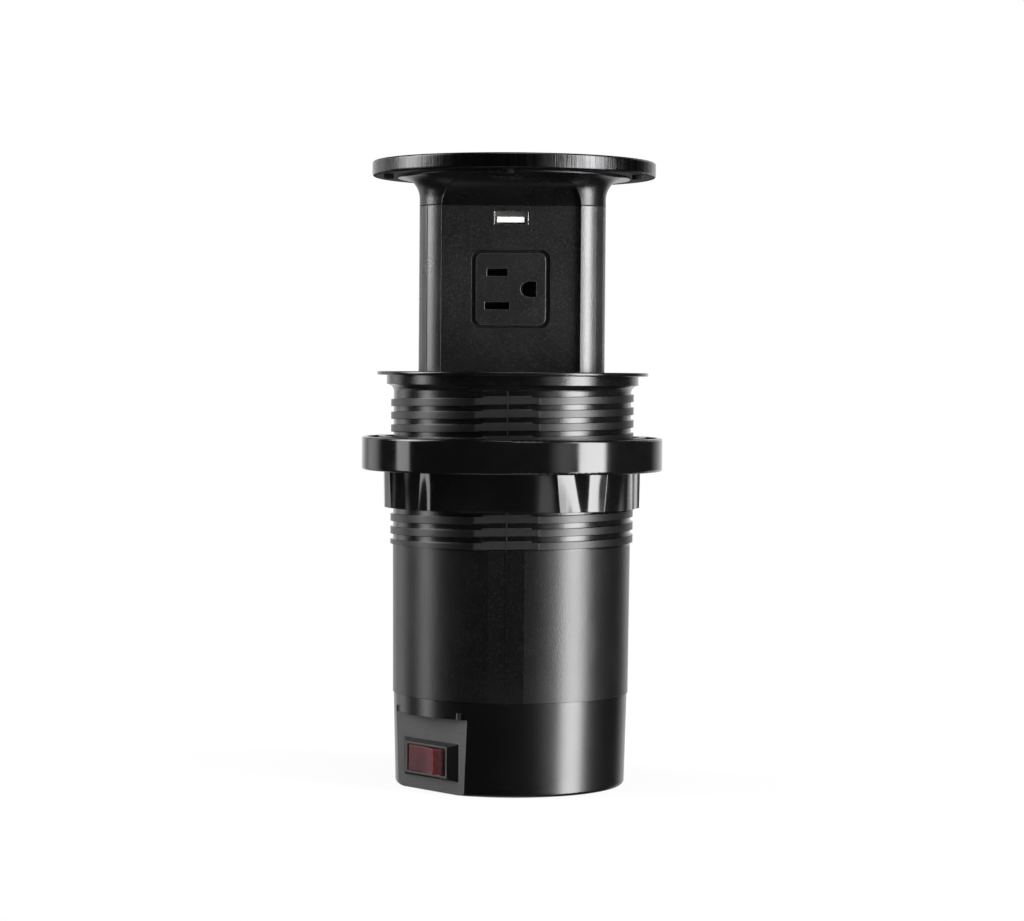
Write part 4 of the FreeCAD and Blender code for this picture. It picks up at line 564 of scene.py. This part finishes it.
# Metal: colour with a drifting tone, brushed lines in bump and roughness, softened edges.
# The lines run as the look's turn says, or as the given function lays them.
def workedMetal(name, look, layLines=None):
    made = newMaterial(name)
    tree, coords = made["tree"], made["coords"]
    if layLines:
        along = layLines(tree, coords)
    else:
        along = addNode(tree, "Mapping", (-1300, 200), Vector=coords, Rotation=look["turn"]).outputs[0]
    brush = useGroup(tree, brushGroup, (-1100, 200), Vector=along, Lines_per_mm=look["linesPerMm"])
    marks = useGroup(tree, marksGroup, (-1100, -100), Vector=coords, Patches_per_m=look["patchesPerM"])
    edge = useGroup(tree, edgeGroup, (-1100, -400), Radius=look["edgeRadius"])
    dark = shaded(look["colour"], 1 - look["toneSpread"])
    pale = shaded(look["colour"], 1 + look["toneSpread"])
    edgeWearAndSheen = shaded(look["colour"], look["edgeTone"])
    colour = addMix(tree, (-700, 300), "RGBA", brush["Tone"], dark, pale)
    cloud = addMath(tree, (-700, 100), "MULTIPLY", marks["Cloud"], look["cloudShare"])
    colour = addMix(tree, (-500, 300), "RGBA", cloud, colour, pale)
    bump = addNode(
        tree, "Bump", (-200, -300), Strength=look["lineStrength"], Distance=look["lineDepth"],
        Height=brush["Height"], Normal=edge["Normal"],
    )
    made["colour"] = addMix(tree, (-300, 300), "RGBA", edge["Edge"], colour, edgeWearAndSheen)
    made["roughness"] = addRange(tree, (-500, -100), brush["Tone"], 0.0, 1.0, *look["roughness"])
    feedShader(made, Base_Color=made["colour"], Roughness=made["roughness"], Normal=bump.outputs[0])
    feedShader(made, Metallic=1.0)
    return made


metalBase = {
    "colour": (0.6, 0.6, 0.61), "toneSpread": 0.12, "cloudShare": 0.3, "roughness": (0.2, 0.32),
    "linesPerMm": 6.0, "lineStrength": 0.2, "lineDepth": 0.00002, "turn": (0.0, 0.0, 0.0),
    "patchesPerM": 80.0, "edgeRadius": 0.0001, "edgeTone": 1.1,
}

# Lid: black brushed aluminium, lines up and down the rim and straight across the top, rough underneath, where
# the faces that look down are painted near black as shade.
lidLook = dict(
    metalBase, colour=(0.045, 0.045, 0.046), toneSpread=0.35, roughness=(0.16, 0.24),
    linesPerMm=2.4, lineStrength=1.0, lineDepth=0.00007, edgeRadius=0.0004, edgeTone=1.6,
    rimRadius=0.055, topFacing=0.7, underFacing=(-0.6, -0.85), underColour=(0.004, 0.004, 0.004, 1),
    underRoughness=0.7,
)


def lidLines(tree, coords):
    x, y, z = splitVector(tree, (-2300, 200), coords)
    angle = addMath(tree, (-2100, 300), "ARCTAN2", y, x)
    along = addMath(tree, (-1900, 300), "MULTIPLY", angle, lidLook["rimRadius"])
    onRim = joinVector(tree, (-1700, 300), along, z)
    onTop = joinVector(tree, (-1700, 100), y, x, z)
    up = splitVector(tree, (-1700, -100), ownNormal(tree, (-1900, -100)))[2]
    steep = addMath(tree, (-1600, -100), "ABSOLUTE", up)
    level = addMath(tree, (-1500, -100), "GREATER_THAN", steep, lidLook["topFacing"])
    return addMix(tree, (-1300, 200), "VECTOR", level, onRim, onTop)


look = lidLook
lid = workedMetal("lidMetal", look, lidLines)
tree = lid["tree"]
up = splitVector(tree, (-700, 900), ownNormal(tree, (-900, 900)))[2]
under = addRange(tree, (-500, 900), up, *look["underFacing"])
# painted shade: faces that look down take a near-black colour
colour = addMix(tree, (0, 600), "RGBA", under, lid["colour"], look["underColour"])
roughness = addMix(tree, (200, 800), "FLOAT", under, lid["roughness"], look["underRoughness"])
feedShader(lid, Base_Color=colour, Roughness=roughness)
dress(lid, "lid_disc")

shellLook = dict(metalBase, colour=(0.72, 0.72, 0.72), roughness=(0.18, 0.28), linesPerMm=8.0)
dress(workedMetal("socketShellTin", shellLook), *["usb_shell_" + face for face in faceNames])

screwLook = dict(
    metalBase, colour=(0.5, 0.5, 0.51), roughness=(0.25, 0.4), linesPerMm=5.0, turn=(0.0, 0.6, 0.8),
)
screwNames = [place + "_screws" for place in ("guide", "cap", "lid", "head", "base")]
dress(workedMetal("screwZinc", screwLook), *screwNames)

springLook = dict(
    metalBase, colour=(0.55, 0.55, 0.56), roughness=(0.15, 0.25), linesPerMm=10.0, turn=(0.0, 1.57, 0.0),
)
dress(workedMetal("springSteel", springLook), "brake_springs")

# Contacts and terminals: brass, coloured far darker than brass as painted shade inside the slots they sit
# behind
brassLook = dict(
    metalBase, colour=(0.075, 0.055, 0.032), roughness=(0.25, 0.4), linesPerMm=7.0, turn=(0.0, 1.57, 0.0),
)
brassNames = [kind + "_contact_" + face for kind in ("live", "neutral", "earth") for face in faceNames]
dress(workedMetal("contactBrass", brassLook), *brassNames, "line_terminal", "load_terminal", "lamp_terminal")

# Charger board: green laminate with copper tracks under the lacquer and pale component dots.
boardLook = {
    "laminate": (0.02, 0.12, 0.05, 1), "track": (0.05, 0.24, 0.1, 1), "solder": (0.5, 0.5, 0.48, 1),
    "tracksPerMm": 1.3, "trackWidth": 0.08, "dotsPerMm": 0.6, "dotEnds": (0.2, 0.26),
    "roughness": 0.35, "dotRoughness": 0.2, "dotStrength": 0.4, "dotHeight": 0.00005,
}
look = boardLook
board = newMaterial("boardLaminate")
tree = board["tree"]
mmPlace = scaleVector(tree, (-1300, 0), board["coords"], mmPerM)
tracks = addNode(
    tree, "TexBrick", (-1100, 200), {"offset": 0.5}, Vector=mmPlace, Scale=look["tracksPerMm"],
    Mortar_Size=look["trackWidth"], Color1=black, Color2=black, Mortar=white,
)
dots = addNode(
    tree, "TexVoronoi", (-1100, -200), {"feature": "F1"},
    Vector=mmPlace, Scale=look["dotsPerMm"], Randomness=0.5,
)
dotMask = addRange(tree, (-800, -200), dots.outputs["Distance"], *look["dotEnds"], 1.0, 0.0)
colour = addMix(tree, (-600, 100), "RGBA", tracks.outputs["Color"], look["laminate"], look["track"])
colour = addMix(tree, (-400, 100), "RGBA", dotMask, colour, look["solder"])
roughness = addMix(tree, (-400, -200), "FLOAT", dotMask, look["roughness"], look["dotRoughness"])
bump = addNode(
    tree, "Bump", (-200, -400), Strength=look["dotStrength"], Distance=look["dotHeight"], Height=dotMask,
)
feedShader(board, Base_Color=colour, Roughness=roughness, Metallic=dotMask, Normal=bump.outputs[0])
dress(board, *["usb_board_" + face for face in faceNames])
print("metals and boards dressed")
print("nodes without a finish:", sorted(set(nodes) - dressed))

# Floor: pale and white to the camera, with the object's shadow; reflections look through it at the studio.
floorLook = {
    "size": 5.0, "sides": 64, "drop": 0.0003,
    "paint": (0.82, 0.82, 0.82), "fibreTones": (0.98, 1.02), "fibresPerM": 300.0,
    "shade": 0.11, "shadeFrom": 0.1, "shadeTo": 0.34, "glossWhite": 0.03, "glossClear": 0.12,
}
look = floorLook
mesh = bpy.data.meshes.new("floor")
ring = []
for i in range(look["sides"]):
    turn = math.tau * i / look["sides"]
    ring.append((look["size"] * math.cos(turn), look["size"] * math.sin(turn), -look["drop"]))
mesh.from_pydata(ring, [], [tuple(range(look["sides"]))])
floor = bpy.data.objects.new("floor", mesh)
bpy.context.scene.collection.objects.link(floor)
material = bpy.data.materials.new("floorPaper")
tree = emptyTree(material)
place = addNode(tree, "TexCoord", (-1100, 0)).outputs["Object"]
fibre = addNode(tree, "TexNoise", (-900, 0), Vector=place, Scale=look["fibresPerM"], Detail=3.0).outputs[0]
paper = addMix(tree, (-700, 0), "RGBA", fibre, *[shaded(look["paint"], tone) for tone in look["fibreTones"]])
path = addNode(tree, "LightPath", (-700, 400)).outputs
shadowed = addNode(tree, "BsdfDiffuse", (-400, 0), Color=paper).outputs[0]
glow = addNode(tree, "Emission", (-400, -200), Color=white, Strength=1.0).outputs[0]
# to the camera: white, with a share of the shadow close to the object
reach = addLength(tree, (-900, -300), place)
shadeEnds = (look["shadeFrom"], look["shadeTo"])
bare = addRange(tree, (-700, -300), reach, *shadeEnds, 1.0 - look["shade"], 1.0, smooth=True)
seen = addNode(tree, "MixShader", (-150, 0), i0=bare, i1=shadowed, i2=glow).outputs[0]
seen = addNode(tree, "MixShader", (100, 0), i0=path["Is Camera Ray"], i1=shadowed, i2=seen).outputs[0]
# to reflections: white from straight above, else clear; clear to shadow rays and from below
mirror = addMath(tree, (-450, 300), "MAXIMUM", path["Is Glossy Ray"], path["Is Transmission Ray"])
seen = addNode(tree, "MixShader", (200, 0), i0=mirror, i1=seen, i2=glow).outputs[0]
slant = addNode(tree, "LayerWeight", (-700, 600), Blend=0.5).outputs["Facing"]
clear = addRange(tree, (-450, 600), slant, look["glossWhite"], look["glossClear"], smooth=True)
clear = addMath(tree, (-250, 450), "MULTIPLY", mirror, clear)
clear = addMath(tree, (-100, 400), "MAXIMUM", clear, path["Is Shadow Ray"])
below = addNode(tree, "NewGeometry", (-400, 800)).outputs["Backfacing"]
clear = addMath(tree, (100, 500), "MAXIMUM", clear, below)
through = addNode(tree, "BsdfTransparent", (-150, -200)).outputs[0]
seen = addNode(tree, "MixShader", (400, 0), i0=clear, i1=seen, i2=through).outputs[0]
addNode(tree, "OutputMaterial", (600, 0), Surface=seen)
floor.data.materials.append(material)

# Studio room: white to the camera, and to reflections white behind the object and dim in front; soft fill
# from above.
roomLook = {
    "whiteEnds": (0.68, 0.97), "dim": 0.02, "white": 1.0,
    "fillEnds": (-0.6, 0.8), "fillLow": 0.18, "fillHigh": 0.39,
}
look = roomLook
world = bpy.data.worlds.new("studioRoom")
bpy.context.scene.world = world
tree = emptyTree(world)
_, y, z = splitVector(tree, (-900, 0), addNode(tree, "TexCoord", (-1100, 0)).outputs["Generated"])
behind = addRange(tree, (-700, 0), y, *look["whiteEnds"], look["dim"], look["white"], smooth=True)
above = addRange(tree, (-700, -300), z, *look["fillEnds"], look["fillLow"], look["fillHigh"])
path = addNode(tree, "LightPath", (-700, 400)).outputs
mirror = addMath(tree, (-450, 300), "MAXIMUM", path["Is Glossy Ray"], path["Is Transmission Ray"])
strength = addMix(tree, (-250, 0), "FLOAT", mirror, above, behind)
strength = addMix(tree, (-50, 0), "FLOAT", path["Is Camera Ray"], strength, 1.0)
sky = addNode(tree, "Background", (150, 0), Color=white, Strength=strength)
addNode(tree, "OutputWorld", (350, 0), Surface=sky.outputs[0])


# Stands a lamp or the camera at an azimuth from the front, counted to the right, a distance and a height,
# and turns it to the height on the object's axis that it aims at.
def stand(item, look):
    turn = math.radians(look["azimuth"])
    item.location = (look["distance"] * math.sin(turn), -look["distance"] * math.cos(turn), look["height"])
    aim = Vector((0, 0, look["aim"])) - item.location
    item.rotation_mode = "QUATERNION"
    roll = Quaternion((0, 0, 1), math.radians(look.get("roll", 0.0)))
    item.rotation_quaternion = aim.to_track_quat("-Z", "Y") @ roll
    bpy.context.scene.collection.objects.link(item)


# Lamps: size is width and height. Each is brightest in the middle and fades towards its sides over a share of
# its width.
lampLooks = {
    "softboxRight": {
        "azimuth": 64.5, "distance": 1.25, "height": 0.2, "aim": 0.2,
        "size": (0.6, 1.9), "power": 62.0, "fade": 0.3,
    },
    "scrimRight": {
        "azimuth": 42.0, "distance": 1.35, "height": 0.3, "aim": 0.13,
        "size": (0.7, 1.2), "power": 3.2, "fade": 0.9,
    },
    "stripLeft": {
        "azimuth": -87.0, "distance": 1.2, "height": 0.3, "aim": 0.13,
        "size": (0.34, 1.3), "power": 5.5, "fade": 0.3,
    },
    "wallLeft": {
        "azimuth": -128.0, "distance": 1.4, "height": 0.3, "aim": 0.13,
        "size": (0.8, 1.5), "power": 4.0, "fade": 0.8,
    },
    "softboxLeft": {
        "azimuth": -88.0, "distance": 1.3, "height": 0.8, "aim": 0.2,
        "size": (1.1, 1.1), "power": 32.0, "fade": 0.6,
    },
    "softboxTop": {
        "azimuth": 20.0, "distance": 0.4, "height": 1.5, "aim": 0.13,
        "size": (1.0, 0.8), "power": 7.0, "fade": 0.3,
    },
}
for name, look in lampLooks.items():
    lamp = bpy.data.lights.new(name, "AREA")
    lamp.shape = "RECTANGLE"
    lamp.size, lamp.size_y = look["size"]
    lamp.energy = look["power"]
    tree = emptyTree(lamp)
    across = splitVector(tree, (-800, 0), addNode(tree, "NewGeometry", (-1000, 0)).outputs["Parametric"])[0]
    fromSide = addMath(tree, (-600, 0), "PINGPONG", across, 0.5)
    level = addRange(tree, (-400, 0), fromSide, 0.0, look["fade"] / 2, smooth=True)
    glow = addNode(tree, "Emission", (-200, 0), Color=white, Strength=level)
    addNode(tree, "OutputLight", (0, 0), Surface=glow.outputs[0])
    holder = bpy.data.objects.new(name, lamp)
    holder.visible_camera = False
    stand(holder, look)

# Camera: a long lens a little above the object's middle, as far off as the photograph's ellipses say.
cameraLook = {
    "azimuth": 2.3, "distance": 1.11, "height": 0.16, "aim": 0.1255, "roll": 0.45,
    "lens": 100.17, "sensorWidth": 36.0, "clipStart": 0.01,
}
camera = bpy.data.objects.new("camera", bpy.data.cameras.new("camera"))
stand(camera, cameraLook)
camera.data.lens = cameraLook["lens"]
camera.data.sensor_width = cameraLook["sensorWidth"]
camera.data.clip_start = cameraLook["clipStart"]
bpy.context.scene.camera = camera
bpy.context.scene.view_settings.view_transform = "Standard"
print("studio and camera set")
